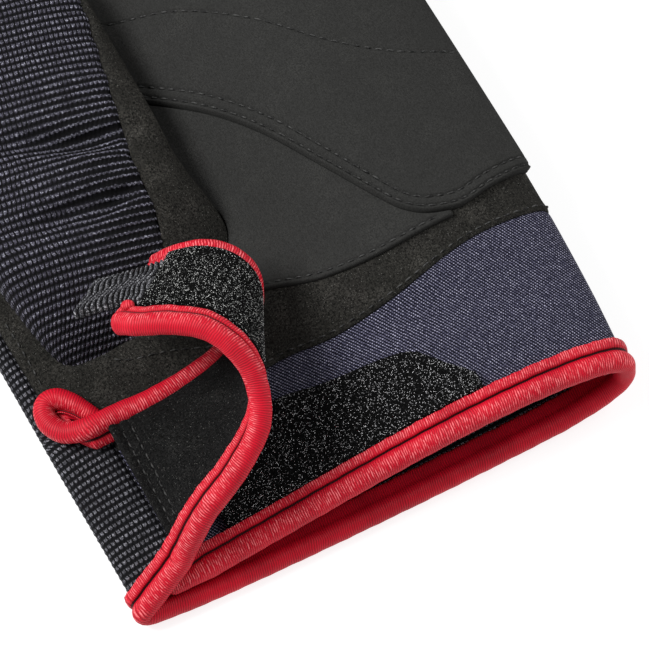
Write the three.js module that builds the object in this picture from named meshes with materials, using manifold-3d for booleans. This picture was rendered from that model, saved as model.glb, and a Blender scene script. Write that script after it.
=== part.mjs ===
// A short-finger sailing glove for the left hand, lying palm up on its back with the strap curled open.
// Millimetres. X runs from the thumb side to the little finger, Y from the wrist to the fingertips, Z up.
import * as THREE from 'three';
import { mergeVertices } from 'three/addons/utils/BufferGeometryUtils.js';
import Module from 'manifold-3d';

const wasm = await Module();
wasm.setup();

// Hand
const palmWidth = 99;
const handLength = 118;
const palmHeight = 21;
const clothWall = 1.3;
const seamGap = 0.3;
const mouthLean = 3;
const mouthSkew = 1.2;
const cuffHeight = 29;
const seamWrap = 5;
const strapBaseWidth = 10;
const heelFrom = 4;
const heelTo = 16;
const mouthSetback = 0.4;

// Thumb
const thumbLength = 80;
const thumbWidth = 40;
const thumbDepth = 11.4;
const thumbInset = 24.5;
const thumbGap = 1.1;

// Fingers
const fingerLength = 46;
const fingerHeight = 16;
const fingerSpread = 3;
const fingerGap = 1;

// Reinforcement and fastener
const upperOverlayWall = 1.4;
const lowerOverlayWall = 0.8;
const loopWall = 1.3;
const hookWall = 1.1;
const tabWall = 1.4;

// Strap
const strapWall = 1.6;
const strapWidth = 28;
const strapRun = 35.5;
const strapDrift = 27.3;
const strapRise = 21.1;
const strapSetIn = 7.4;
const strapSetback = 3.9;

// Binding
const rollRadius = 2;
const flangeWidth = 2;
const flangeWall = 0.8;
const slitTurn = 3.9;
const slitSetIn = 0.2;
const slitGap = 0.65;

// Rows of numbers under named columns.
const tableOf = (columns, ...rows) => rows.map((row) => (
  Object.fromEntries(columns.map((column, i) => [column, row[i]]))
));

// Sections of the hand along its length: shares of handLength, palmWidth and palmHeight.
// leftTop and rightTop are the palm's heights, and it climbs between riseFrom and riseTo across the width.
const handSections = tableOf(
  ['at', 'half', 'shift', 'leftSide', 'rightSide', 'leftTop', 'rightTop', 'riseFrom', 'riseTo'],
  [0.00, 0.490, -0.018, 0.16, 0.42, 0.37, 0.87, -1.0,  1.0],
  [0.12, 0.496, -0.010, 0.17, 0.42, 0.40, 0.93, -0.7,  0.7],
  [0.28, 0.501, -0.004, 0.18, 0.42, 0.43, 0.98, -0.4,  0.5],
  [0.45, 0.502,  0.000, 0.19, 0.42, 0.45, 1.00, -0.3, 0.45],
  [0.70, 0.502,  0.002, 0.20, 0.40, 0.46, 0.98, -0.3, 0.45],
  [0.88, 0.503,  0.002, 0.22, 0.38, 0.50, 0.88, -0.1, 0.45],
  [1.00, 0.500,  0.002, 0.23, 0.36, 0.52, 0.76,  0.0,  0.4],
);

// Folds of the palm side: centre as shares of palmWidth and handLength, reach and breadth as shares of
// palmWidth, height as a share of palmHeight, and the turn of the crease from Y in degrees.
const palmFolds = tableOf(['x', 'y', 'reach', 'breadth', 'height', 'turn'],
  [-0.01, 0.52, 0.24, 0.06, -0.09,  6],
  [ 0.03, 0.29, 0.16, 0.04,  0.05, 74],
  [ 0.26, 0.62, 0.22, 0.14,  0.05, 12],
  [ 0.18, 0.20, 0.20, 0.05, -0.04, 82],
  [ 0.36, 0.86, 0.16, 0.05, -0.06, 60],
);

// Sections of the thumb: shares of thumbLength and thumbWidth, low as a share of the height at which it
// rests on the palm, and depth as a share of thumbDepth.
const thumbSections = tableOf(['at', 'half', 'shift', 'low', 'depth'],
  [0.000, 0.30, 0.02, 0.20, 0.30],
  [0.035, 0.38, 0.03, 0.20, 0.60],
  [0.080, 0.44, 0.04, 0.20, 0.95],
  [0.150, 0.47, 0.03, 0.25, 1.28],
  [0.250, 0.49, 0.01, 0.42, 1.46],
  [0.350, 0.50, 0.00, 0.72, 1.28],
  [0.450, 0.50, 0.01, 0.97, 1.03],
  [0.700, 0.49, 0.03, 1.00, 1.00],
  [1.000, 0.46, 0.08, 1.00, 0.95],
);

// Puckers across the thumb's ribbed back, as palmFolds but of thumbWidth, thumbLength and thumbDepth.
const thumbFolds = tableOf(['x', 'y', 'reach', 'breadth', 'height', 'turn'],
  [0.10, 0.34, 0.32, 0.09,  0.07, 66],
  [0.06, 0.47, 0.34, 0.08, -0.08, 72],
  [0.12, 0.60, 0.30, 0.09,  0.06, 68],
);

// Index to little finger: place counts fingerPitch from the middle of the hand, length is a share of
// fingerLength, base and tip of fingerHeight, and spread of fingerSpread.
const fingers = tableOf(['place', 'length', 'base', 'tip', 'spread'],
  [-1.5, 0.848, 0.72, 0.80, -1.3],
  [-0.5, 1.000, 0.72, 0.95, -0.3],
  [ 0.5, 0.891, 0.98, 1.02,  0.5],
  [ 1.5, 0.674, 0.98, 1.00,  1.5],
);

// Lower edge of the upper overlay across the palm: shares of palmWidth and handLength.
const overlaySeam = tableOf(['at', 'y'],
  [-0.20, 0.825], [-0.12,  0.78], [-0.06, 0.742], [ 0.03,  0.66],
  [ 0.10, 0.568], [0.164, 0.458], [0.226, 0.361], [0.258, 0.333],
  [0.293, 0.319], [0.343, 0.312], [0.408, 0.323], [ 0.51, 0.335],
);
const overlayHem = tableOf(['at', 'y'],
  [-0.12, 0.375], [-0.03, 0.358], [0.066, 0.315], [ 0.16, 0.299], [ 0.30, 0.303],
);
const overlayTop = 0.965;
const overlayLeft = -0.2;
const overlayRight = 0.492;
const lowerOverlayLeft = -0.12;
const lowerOverlayRight = 0.27;
const overlayGap = 0.45;

// Upper edge of the loop patch: shares of palmWidth and cuffHeight.
const loopEdge = tableOf(['at', 'y'],
  [-0.30, 0.84], [-0.11, 0.79], [-0.03, 0.71], [ 0.09, 0.63],
  [ 0.13, 0.57], [ 0.16, 0.44], [0.205, 0.27],
);

// Seam between the ribbed and the suede halves of the thumb: shares of palmWidth and handLength.
const thumbSeam = tableOf(['x', 'y'],
  [ -0.28,  0.33], [-0.172, 0.462], [-0.128,  0.62], [-0.047, 0.909], [   0.0,   1.1],
);

// Seam between palm and back on the thumb side, above the slit: shares of palmWidth in from seamWrap, and
// of handLength.
const sideSeam = tableOf(['x', 'y'],
  [-0.025, 0.34], [0, 0.39], [0, 0.85], [-0.015, 1.0], [-0.145, 1.08],
);

// Stations of the strap's middle: shares of strapRun, strapDrift and strapRise from its base, the direction
// of its width in the plan and its dip in degrees, and the width as a share of strapWidth.
const strapStations = tableOf(['run', 'drift', 'rise', 'turn', 'dip', 'width'],
  [0.15, -0.02, 0.02, 91,   3, 1.10],
  [0.25,  0.00, 0.11, 87,  -3, 1.05],
  [0.41,  0.02, 0.29, 84, -16, 1.00],
  [0.63,  0.07, 0.42, 84, -27, 0.98],
  [0.84,  0.16, 0.56, 78, -34, 0.94],
  [0.97,  0.31, 0.74, 65, -36, 0.90],
  [1.00,  0.49, 0.90, 55, -34, 0.88],
  [0.94,  0.67, 1.00, 49, -32, 0.85],
  [0.82,  0.81, 1.00, 45, -29, 0.82],
  [0.69,  0.91, 0.92, 42, -29, 0.79],
  [0.58,  1.00, 0.79, 40, -33, 0.75],
  [0.37,  1.10, 0.68, 40, -33, 0.75],
);

// Shares of the strap's length at which the suede ends and the hook pad and the tab start and end, and of
// its width between which the tab lies.
const strapEnd = 10 / 11;
const hookFrom = 0.36;
const hookTo = 0.83;
const tabFrom = 0.845;
const tabLow = 0.21;
const tabHigh = 0.79;

// Turns of the bindings: degrees round the slit's closed end, and shares of a turn round the wrist.
const slitFrom = 35;
const slitTo = 262;
const wristFrom = 0.385;
const wristTo = -0.53;

// Heights of the side seam as shares of palmHeight, and of the thumb's seam as a share of thumbDepth.
const seamHeight = 0.255;
const seamClimb = 0.24;
const thumbSeamHeight = 0.42;
const thumbSeamSlope = 0.5;

// Shares: the thumb's place along handLength, how far a finger's root runs back into the hand and how narrow
// it is there, the height of a finger's widest line, and the slit's corner along handLength.
const thumbPlace = 0.373;
const fingerRoot = 0.35;
const rootFullness = 0.7;
const fingerWaist = 0.45;
const slitCorner = 0.3;

// Mesh fineness
const handSides = 36;
const thumbSides = 24;
const fingerSides = 16;
const roundness = 0.6;
const underFlatness = 1.25;

const fingerPitch = (palmWidth - fingerGap) / 4;
const fingerWidth = fingerPitch - fingerGap;
const fingerRest = Math.max(fingers[0].base, fingers[1].base) * fingerHeight;
const thumbRest = Math.max(fingerRest, handSections.at(-1).leftTop * palmHeight) + thumbGap;
const thumbStart = thumbPlace * handLength;
const thumbCentre = thumbInset - palmWidth / 2;

const lerp = THREE.MathUtils.lerp;
const clamp = THREE.MathUtils.clamp;
const radians = THREE.MathUtils.degToRad;

// Value of a table's column at a share, eased through the rows.
function readTable(table, column, at) {
  const last = table.length - 1;
  let row = 0;
  while (row < last - 1 && at > table[row + 1].at) row += 1;
  const low = table[row];
  const high = table[row + 1];
  const span = high.at - low.at;
  const t = clamp((at - low.at) / span, 0, 1);
  const slope = (from, to) => (to[column] - from[column]) / (to.at - from.at);
  const slopeLow = row > 0 ? slope(table[row - 1], high) : slope(low, high);
  const slopeHigh = row < last - 1 ? slope(low, table[row + 2]) : slope(low, high);
  const t2 = t * t;
  const t3 = t2 * t;
  return (2 * t3 - 3 * t2 + 1) * low[column] + (t3 - 2 * t2 + t) * span * slopeLow
    + (3 * t2 - 2 * t3) * high[column] + (t3 - t2) * span * slopeHigh;
}

function foldHeight(folds, x, y, across, along, height) {
  let sum = 0;
  for (const fold of folds) {
    const dx = x - fold.x * across;
    const dy = y - fold.y * along;
    const turn = radians(fold.turn);
    const u = (dx * -Math.sin(turn) + dy * Math.cos(turn)) / (fold.reach * across);
    const v = (dx * Math.cos(turn) + dy * Math.sin(turn)) / (fold.breadth * across);
    sum += fold.height * height * Math.exp(-u * u - v * v);
  }
  return sum;
}

// Point of the hand's outer surface at an angle round it and a distance from the wrist, moved in by inset.
function handPoint(angle, y, inset = 0) {
  const share = clamp(y / handLength, 0, 1);
  const read = (column) => readTable(handSections, column, share);
  const c = Math.cos(angle);
  const bulge = Math.abs(Math.sin(angle)) ** roundness;
  const x = read('shift') * palmWidth + (read('half') * palmWidth - inset) * c;
  const side = lerp(read('leftSide'), read('rightSide'), (c + 1) / 2) * palmHeight;
  if (Math.sin(angle) >= 0) {
    const climb = THREE.MathUtils.smoothstep(c, read('riseFrom'), read('riseTo'));
    const top = lerp(read('leftTop'), read('rightTop'), climb) * palmHeight - inset
      + foldHeight(palmFolds, x, y, palmWidth, handLength, palmHeight);
    return new THREE.Vector3(x, y, side + (top - side) * bulge);
  }
  const heel = (rollRadius - clothWall / 2) * (1 - THREE.MathUtils.smoothstep(y, heelFrom, heelTo));
  return new THREE.Vector3(x, y, side - (side - inset - heel) * Math.min(1, underFlatness * bulge));
}

// Angle round the hand of a place x on its palm side.
function handAngle(x, y) {
  const share = clamp(y / handLength, 0, 1);
  const centre = readTable(handSections, 'shift', share) * palmWidth;
  const half = readTable(handSections, 'half', share) * palmWidth;
  return Math.acos(clamp((x - centre) / half, -0.998, 0.998));
}

function palmTop(x, y, lift = 0) {
  return handPoint(handAngle(x, y), y, -lift);
}

function thumbPoint(angle, share, inset = 0) {
  const read = (column) => readTable(thumbSections, column, share);
  const c = Math.cos(angle);
  const bulge = Math.abs(Math.sin(angle)) ** roundness;
  const along = share * thumbLength;
  const across = (read('half') * thumbWidth - inset) * c;
  const low = read('low') * thumbRest + inset;
  const high = low + read('depth') * thumbDepth - 2 * inset;
  const middle = (low + high) / 2;
  const fold = foldHeight(thumbFolds, across, along, thumbWidth, thumbLength, thumbDepth);
  const z = Math.sin(angle) >= 0
    ? middle + (high - middle + fold) * bulge
    : middle - (middle - low) * bulge;
  return new THREE.Vector3(thumbCentre + read('shift') * thumbWidth + across, thumbStart + along, z);
}

function fingerPoint(finger, angle, share, inset = 0) {
  const full = lerp(rootFullness, 1, THREE.MathUtils.smoothstep(share, -fingerRoot, 0.02));
  const c = Math.cos(angle);
  const bulge = Math.abs(Math.sin(angle)) ** roundness;
  const reach = Math.max(share, 0);
  const rise = THREE.MathUtils.smoothstep(share, 0.15, 1);
  const top = lerp(finger.base, finger.tip, rise) * fingerHeight * full - inset;
  const side = fingerWaist * (top + inset);
  const centre = finger.place * fingerPitch + finger.spread * fingerSpread * reach;
  const x = centre + (fingerWidth / 2 * full - inset) * c;
  const z = Math.sin(angle) >= 0
    ? side + (top - side) * bulge
    : side - (side - inset) * Math.min(1, underFlatness * bulge);
  return new THREE.Vector3(x, handLength + share * finger.length * fingerLength, z);
}

// Closed geometry with its faces turned outward.
function closedGeometry(positions, index) {
  const position = new THREE.Float32BufferAttribute(positions, 3);
  const [a, b, c] = [new THREE.Vector3(), new THREE.Vector3(), new THREE.Vector3()];
  let volume = 0;
  for (let i = 0; i < index.length; i += 3) {
    a.fromBufferAttribute(position, index[i]);
    b.fromBufferAttribute(position, index[i + 1]);
    c.fromBufferAttribute(position, index[i + 2]);
    volume += a.dot(b.cross(c));
  }
  const geometry = new THREE.BufferGeometry();
  geometry.setAttribute('position', position);
  geometry.setIndex(volume < 0 ? index.toReversed() : index);
  return geometry;
}

// Closed solid through rings of points; the caps use the triangles given for one ring.
function loftGeometry(rings, caps) {
  const count = rings[0].length;
  const positions = rings.flat().flatMap((p) => [p.x, p.y, p.z]);
  const index = [];
  for (let r = 0; r + 1 < rings.length; r += 1) {
    for (let i = 0; i < count; i += 1) {
      const a = r * count + i;
      const b = r * count + (i + 1) % count;
      index.push(a, b, b + count, a, b + count, a + count);
    }
  }
  const end = (rings.length - 1) * count;
  for (const [a, b, c] of caps) {
    index.push(c, b, a, end + a, end + b, end + c);
  }
  return closedGeometry(positions, index);
}

// Triangles of a round section's cap, in strips across it.
function roundCaps(count) {
  const caps = [];
  for (let i = 0; i < count / 2; i += 1) {
    const a = i;
    const b = i + 1;
    const c = count - 1 - i;
    const d = (count - i) % count;
    if (d !== a) caps.push([a, b, d]);
    if (b !== c) caps.push([b, c, d]);
  }
  return caps;
}

function ring(count, point) {
  return Array.from({ length: count }, (_, i) => point(2 * Math.PI * i / count));
}

function solidOf(geometry) {
  const bare = new THREE.BufferGeometry();
  bare.setAttribute('position', geometry.getAttribute('position').clone());
  if (geometry.index) bare.setIndex(geometry.index.clone());
  const merged = mergeVertices(bare, 1e-4);
  const mesh = new wasm.Mesh({
    numProp: 3,
    vertProperties: new Float32Array(merged.getAttribute('position').array),
    triVerts: new Uint32Array(merged.index.array),
  });
  return new wasm.Manifold(mesh);
}

function geometryOf(solid) {
  const mesh = solid.getMesh();
  const geometry = new THREE.BufferGeometry();
  geometry.setAttribute('position', new THREE.Float32BufferAttribute(mesh.vertProperties, 3));
  geometry.setIndex(Array.from(mesh.triVerts));
  return geometry;
}

// Distance from the wrist to the middle of the binding's roll, round the mouth.
function mouthY(angle) {
  return mouthLean / 2 * Math.sin(angle) - mouthSkew * Math.cos(angle) + mouthSetback;
}

const clothSetback = rollRadius + seamGap;
const handRows = [0.08, 0.14, 0.2, 0.27, 0.34, 0.42, 0.5, 0.58, 0.66, 0.74, 0.82, 0.9];

// The mouth's end face stands square to the cloth, from a first ring set in by rim.
function handSolid(inset, mouthStep, end, rim = 0) {
  const mouthRing = (depth) => ring(handSides, (angle) => handPoint(angle, mouthY(angle) + mouthStep, depth));
  const rings = rim > 0 ? [mouthRing(rim), mouthRing(inset)] : [mouthRing(inset)];
  for (const row of handRows) {
    rings.push(ring(handSides, (angle) => handPoint(angle, row * handLength, inset)));
  }
  rings.push(ring(handSides, (angle) => handPoint(angle, end, inset)));
  return solidOf(loftGeometry(rings, roundCaps(handSides)));
}

function thumbSolid(inset, overrun) {
  const shares = [0, 0.035, 0.08, 0.13, 0.19, 0.26, 0.34, 0.43, 0.52, 0.62, 0.74, 0.87, 1];
  const rings = shares.map((share) => ring(thumbSides, (angle) => {
    const point = thumbPoint(angle, share, inset);
    point.y += share === 1 ? overrun : 0;
    return point;
  }));
  return solidOf(loftGeometry(rings, roundCaps(thumbSides)));
}

function fingerSolid(finger, inset, overrun) {
  const shares = [-fingerRoot, 0.02, 0.3, 0.65, 1];
  const rings = shares.map((share) => ring(fingerSides, (angle) => {
    const point = fingerPoint(finger, angle, share, inset);
    point.y += share === 1 ? overrun : 0;
    return point;
  }));
  return solidOf(loftGeometry(rings, roundCaps(fingerSides)));
}

// Upright prism over a plan outline, with its underside at a height that may vary across X and Y.
const ceiling = 80;
function prism(outline, low) {
  const shape = new THREE.Shape(outline.map(([x, y]) => new THREE.Vector2(x, y)));
  const geometry = new THREE.ExtrudeGeometry(shape, { depth: ceiling, bevelEnabled: false });
  const position = geometry.getAttribute('position');
  for (let i = 0; i < position.count; i += 1) {
    if (position.getZ(i) < ceiling / 2) position.setZ(i, low(position.getX(i), position.getY(i)));
  }
  return solidOf(geometry);
}

// Slab between two lifts over a patch, whose place gives a point for shares across and along and a lift.
function slabGeometry(place, columns, rows, from, to) {
  const width = columns + 1;
  const layer = width * (rows + 1);
  const positions = [];
  for (const lift of [from, to]) {
    for (let r = 0; r <= rows; r += 1) {
      for (let c = 0; c <= columns; c += 1) {
        const p = place(c / columns, r / rows, lift);
        positions.push(p.x, p.y, p.z);
      }
    }
  }
  const index = [];
  const quad = (a, b, c, d) => index.push(a, b, c, a, c, d);
  for (let r = 0; r < rows; r += 1) {
    for (let c = 0; c < columns; c += 1) {
      const a = r * width + c;
      quad(a, a + width, a + width + 1, a + 1);
      quad(layer + a, layer + a + 1, layer + a + width + 1, layer + a + width);
    }
  }
  for (let c = 0; c < columns; c += 1) {
    const far = rows * width + c;
    quad(c, c + 1, layer + c + 1, layer + c);
    quad(far + 1, far, layer + far, layer + far + 1);
  }
  for (let r = 0; r < rows; r += 1) {
    const a = r * width;
    const b = a + columns;
    quad(a + width, a, layer + a, layer + a + width);
    quad(b, b + width, layer + b + width, layer + b);
  }
  return closedGeometry(positions, index);
}

// Patch on the palm side between two edges given as distances from the wrist at a place across it.
function palmPatch({ left, right, low, high, columns, rows, from, to }) {
  const spread = (x) => handAngle(x, handLength / 2);
  const place = (u, v, lift) => {
    const angle = lerp(spread(left), spread(right), u);
    const x = handPoint(angle, handLength / 2).x;
    const y = lerp(low(x), high(x), v);
    return palmTop(x, y, lift);
  };
  return slabGeometry(place, columns, rows, from, to);
}

const strapBaseX = strapSetIn - strapRun * strapStations[0].run - palmWidth / 2;
const strapBaseY = strapSetback + strapStations[0].width * strapWidth / 2;
const strapBaseZ = palmTop(strapBaseX + strapRun * strapStations[1].run, 2 * strapBaseY).z + rollRadius;

// Strap frame at a share of its length: its middle, the direction of its width, its run and its face.
function strapFrame(share) {
  const rows = strapStations.map((row, i) => ({ ...row, at: i / (strapStations.length - 1) }));
  const middle = (at) => new THREE.Vector3(
    strapBaseX + strapRun * readTable(rows, 'run', at),
    strapBaseY + strapDrift * readTable(rows, 'drift', at),
    strapBaseZ + strapRise * readTable(rows, 'rise', at),
  );
  const turn = radians(readTable(rows, 'turn', share));
  const dip = radians(readTable(rows, 'dip', share));
  const level = Math.cos(dip);
  const across = new THREE.Vector3(level * Math.cos(turn), level * Math.sin(turn), Math.sin(dip));
  const step = 0.01;
  const run = middle(Math.min(share + step, 1)).sub(middle(Math.max(share - step, 0))).normalize();
  const face = new THREE.Vector3().crossVectors(run, across).normalize();
  return { middle: middle(share), across, run, face, half: readTable(rows, 'width', share) * strapWidth / 2 };
}

// Point of the strap: side runs from -1 at the wrist edge to 1 at the finger edge, less a margin in from it.
function strapPoint(share, side, margin, lift) {
  const frame = strapFrame(share);
  return frame.middle
    .addScaledVector(frame.across, side * (frame.half - margin))
    .addScaledVector(frame.face, lift);
}

// Binding section: a roll beyond the cloth's edge and a flange on each face of the cloth.
function bindingProfile() {
  const inner = clothWall / 2 + seamGap;
  const outer = inner + flangeWall;
  const reach = rollRadius + flangeWidth;
  const profile = [[-reach, inner], [-reach, outer]];
  const from = Math.PI - Math.asin(Math.min(outer / rollRadius, 0.97));
  const sides = 7;
  for (let i = 0; i <= sides; i += 1) {
    const angle = lerp(from, -from, i / sides);
    profile.push([rollRadius * Math.cos(angle), rollRadius * Math.sin(angle)]);
  }
  profile.push([-reach, -outer], [-reach, -inner], [-rollRadius, -inner], [-rollRadius, inner]);
  return profile.map(([along, up]) => new THREE.Vector2(along, up));
}

// Room that a binding takes up, with a gap all round.
function bindingRoom() {
  const back = rollRadius + flangeWidth + seamGap;
  const front = rollRadius + seamGap;
  const up = clothWall / 2 + 2 * seamGap + flangeWall;
  return [[-back, -up], [front, -up], [front, up], [-back, up]].map(([x, y]) => new THREE.Vector2(x, y));
}

// Sweep along stations that give a place, the way out from the cloth's edge and the cloth's face.
function bindingGeometry(stations, profile = bindingProfile()) {
  const turned = (corners) => Math.sign(THREE.ShapeUtils.area(corners));
  const caps = THREE.ShapeUtils.triangulateShape(profile, [])
    .map((cap) => (turned(cap.map((i) => profile[i])) === turned(profile) ? cap : cap.toReversed()));
  const rings = stations.map(({ place, out, face }) => profile.map((p) => place.clone()
    .addScaledVector(out, p.x).addScaledVector(face, p.y)));
  return loftGeometry(rings, caps);
}

// Station of the mouth's binding at an angle round the hand.
function mouthStation(angle) {
  const place = handPoint(angle, mouthY(angle), clothWall / 2);
  const step = 0.02;
  const tangent = handPoint(angle + step, mouthY(angle), clothWall / 2)
    .sub(handPoint(angle - step, mouthY(angle), clothWall / 2)).normalize();
  const reach = clothSetback + flangeWidth;
  const out = handPoint(angle, mouthY(angle) + clothSetback, clothWall / 2)
    .sub(handPoint(angle, mouthY(angle) + reach, clothWall / 2)).normalize();
  const face = new THREE.Vector3().crossVectors(tangent, out).normalize();
  return { place, out, face };
}

function strapStation(share, side) {
  const frame = strapFrame(share);
  return {
    place: frame.middle.clone().addScaledVector(frame.across, side * frame.half),
    out: frame.across.clone().multiplyScalar(side),
    face: frame.face,
  };
}

const strapSteps = 22;

function wristStations() {
  const stations = [];
  const step = 2 * Math.PI / handSides;
  const first = Math.round(wristFrom * handSides);
  const last = Math.round(wristTo * handSides);
  for (let i = first; i >= last; i -= 1) stations.push(mouthStation(i * step));
  for (let i = 0; i <= strapSteps; i += 1) stations.push(strapStation(strapEnd * i / strapSteps, -1));
  return stations;
}

function slitBinding() {
  const stations = [];
  const first = strapStation(0, 1).place;
  const centre = new THREE.Vector2(first.x + slitSetIn, first.y + slitTurn);
  const ride = (x, y) => new THREE.Vector3(x, y, palmTop(x, y).z + rollRadius + slitGap);
  const steps = 9;
  for (let i = 0; i < steps; i += 1) {
    const angle = radians(lerp(slitFrom, slitTo, i / steps));
    const out = new THREE.Vector3(-Math.cos(angle), -Math.sin(angle), 0);
    const place = ride(centre.x - slitTurn * out.x, centre.y - slitTurn * out.y);
    stations.push({ place, out, face: new THREE.Vector3(0, 0, 1) });
  }
  for (let i = 0; i <= strapSteps; i += 1) stations.push(strapStation(strapEnd * i / strapSteps, 1));
  return bindingGeometry(stations);
}

// Cloth body
const handOuter = handSolid(0, clothSetback, handLength, clothWall + seamGap);
const handInner = handSolid(clothWall, -clothSetback, handLength - clothWall);
const thumbOuter = thumbSolid(0, 0);
const thumbInner = thumbSolid(clothWall, 1);
let outer = handOuter;
let inner = handInner;
for (const finger of fingers) {
  outer = outer.add(fingerSolid(finger, 0, 0));
  inner = inner.add(fingerSolid(finger, clothWall, 1));
}
// The cloth stops short of the binding where it leaves the wrist for the strap's edge.
const leaving = wristStations().slice(-strapSteps - 2, -strapSteps + 2);
const strapNotch = solidOf(bindingGeometry(leaving, bindingRoom()));
const handShell = outer.subtract(inner).subtract(thumbInner).subtract(strapNotch);
const handCutter = handSolid(-seamGap, 0, handLength)
  .add(fingers.map((finger) => fingerSolid(finger, -seamGap, 0)).reduce((a, b) => a.add(b)));
const thumbCutter = thumbSolid(-seamGap, 1);
const thumbShell = thumbOuter.subtract(thumbInner).subtract(handCutter);

// Seam heights rise from the thumb side to the little-finger side.
const seamLevel = (x) => (seamHeight + seamClimb * x / palmWidth) * palmHeight;
const left = -palmWidth / 2;
const right = palmWidth;
const far = handLength * 1.6;
const strapSeamX = left + strapBaseWidth;
const palmOutline = [
  [right, cuffHeight + seamGap / 2], [right, far], [-right, far],
  ...sideSeam.toReversed().map((row) => [left + seamWrap + row.x * palmWidth, row.y * handLength]),
  [strapSeamX, slitCorner * handLength], [strapSeamX, cuffHeight + seamGap / 2],
];
const cuffOutline = [
  [right, -handLength / 4], [right, cuffHeight - seamGap / 2],
  [strapSeamX, cuffHeight - seamGap / 2], [strapSeamX, -handLength / 4],
];
const palmRegion = prism(palmOutline, seamLevel);
const cuffRegion = prism(cuffOutline, seamLevel);
const joiningOutline = [
  cuffOutline[0], [right, cuffHeight + seamGap], [strapSeamX, cuffHeight + seamGap], cuffOutline[3],
];
const frontRegion = palmRegion.add(prism(joiningOutline, seamLevel))
  .translate([-seamGap, -seamGap, -seamGap]);

const thumbSide = thumbSeam.map((row) => [row.x * palmWidth, row.y * handLength]);
const thumbCreaseY = thumbSide[2][1];
const baseOutline = [[-right, thumbSide[0][1]], ...thumbSide.slice(0, 3), [-right, thumbCreaseY]];
const tipOutline = [[-right, thumbCreaseY], ...thumbSide.slice(2), [-right, thumbSide.at(-1)[1]]];
const thumbFlat = thumbRest + thumbSeamHeight * thumbDepth;
const thumbLift = (x, y) => thumbFlat - (thumbCreaseY - y) * thumbSeamSlope;
const thumbRegion = (shift) => prism(baseOutline, thumbLift).add(prism(tipOutline, () => thumbFlat))
  .translate([shift, 0, -shift]);

const keepBiggest = (solid) => solid.decompose().reduce((a, b) => (a.volume() > b.volume() ? a : b));

const hookMargin = rollRadius + flangeWidth + seamGap;
const seamY = (x) => readTable(overlaySeam, 'y', x / palmWidth) * handLength;
const mouthEdge = (x) => mouthY(handAngle(x, 0)) + rollRadius + flangeWidth + seamGap;

const finishes = {
  palm_panel: { color: 0x2b2825, roughness: 0.95 },
  back_panel: { color: 0x17181f, roughness: 0.9 },
  cuff_band: { color: 0x26273a, roughness: 0.9 },
  palm_overlay_upper: { color: 0x333332, roughness: 0.85 },
  palm_overlay_lower: { color: 0x30302f, roughness: 0.85 },
  loop_patch: { color: 0x141416, roughness: 1 },
  thumb_back: { color: 0x17181f, roughness: 0.9 },
  thumb_palm: { color: 0x2b2825, roughness: 0.95 },
  strap: { color: 0x2a2826, roughness: 0.95 },
  hook_pad: { color: 0x1a1a1c, roughness: 0.8 },
  pull_tab: { color: 0x33363b, roughness: 0.8 },
  wrist_binding: { color: 0xb5121f, roughness: 0.6 },
  slit_binding: { color: 0xb5121f, roughness: 0.6 },
};

// A patch sewn onto the palm, its underside following the cloth.
const onPalm = (patch) => {
  const sewn = solidOf(palmPatch(patch)).subtract(handCutter).subtract(thumbCutter);
  return geometryOf(keepBiggest(sewn));
};

const shapes = {
  palm_panel: geometryOf(keepBiggest(handShell.intersect(palmRegion))),
  back_panel: geometryOf(keepBiggest(handShell.subtract(frontRegion))),
  cuff_band: geometryOf(keepBiggest(handShell.intersect(cuffRegion))),
  thumb_back: geometryOf(keepBiggest(thumbShell.intersect(thumbRegion(0)))),
  thumb_palm: geometryOf(keepBiggest(thumbShell.subtract(thumbRegion(seamGap)))),
  palm_overlay_upper: onPalm({
    left: overlayLeft * palmWidth, right: overlayRight * palmWidth,
    low: seamY, high: () => overlayTop * handLength,
    columns: 14, rows: 9, from: 0, to: seamGap + upperOverlayWall,
  }),
  palm_overlay_lower: onPalm({
    left: lowerOverlayLeft * palmWidth, right: lowerOverlayRight * palmWidth,
    low: (x) => readTable(overlayHem, 'y', x / palmWidth) * handLength,
    high: (x) => seamY(x) - overlayGap,
    columns: 9, rows: 8, from: 0, to: seamGap + lowerOverlayWall,
  }),
  loop_patch: onPalm({
    left: loopEdge[0].at * palmWidth, right: loopEdge.at(-1).at * palmWidth,
    low: mouthEdge,
    high: (x) => readTable(loopEdge, 'y', x / palmWidth) * cuffHeight,
    columns: 12, rows: 3, from: 0, to: seamGap + loopWall,
  }),
  strap: slabGeometry(
    (u, v, lift) => strapPoint(strapEnd * v, 2 * u - 1, clothSetback, lift),
    5, strapSteps, -strapWall / 2, strapWall / 2,
  ),
  hook_pad: slabGeometry(
    (u, v, lift) => strapPoint(lerp(hookFrom, hookTo, v), 2 * u - 1, hookMargin, lift),
    4, 11, -strapWall / 2 - seamGap - hookWall, -strapWall / 2 - seamGap,
  ),
  pull_tab: slabGeometry(
    (u, v, lift) => strapPoint(lerp(tabFrom, 1, v), 2 * lerp(tabLow, tabHigh, u) - 1, 0, lift),
    3, 5, -strapWall / 2 - seamGap - tabWall, -strapWall / 2 - seamGap,
  ),
  wrist_binding: bindingGeometry(wristStations()),
  slit_binding: slitBinding(),
};

const glove = new THREE.Group();
for (const [name, geometry] of Object.entries(shapes)) {
  geometry.computeVertexNormals();
  const mesh = new THREE.Mesh(geometry, new THREE.MeshStandardMaterial({ ...finishes[name], metalness: 0 }));
  mesh.name = name;
  glove.add(mesh);
}

// The origin is the middle of the underside of the glove's bounding box.
const box = new THREE.Box3().setFromObject(glove);
const centre = box.getCenter(new THREE.Vector3());
glove.position.set(-centre.x, -centre.y, -box.min.z);
glove.updateMatrixWorld(true);

export default glove;
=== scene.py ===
# A left-hand short-finger sailing glove lying palm up, its wrist strap unfastened and curled back.
# Lengths are in millimetres until a mesh is made: X thumb side to little finger, Y wrist to fingertips, Z up.
import math

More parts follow.
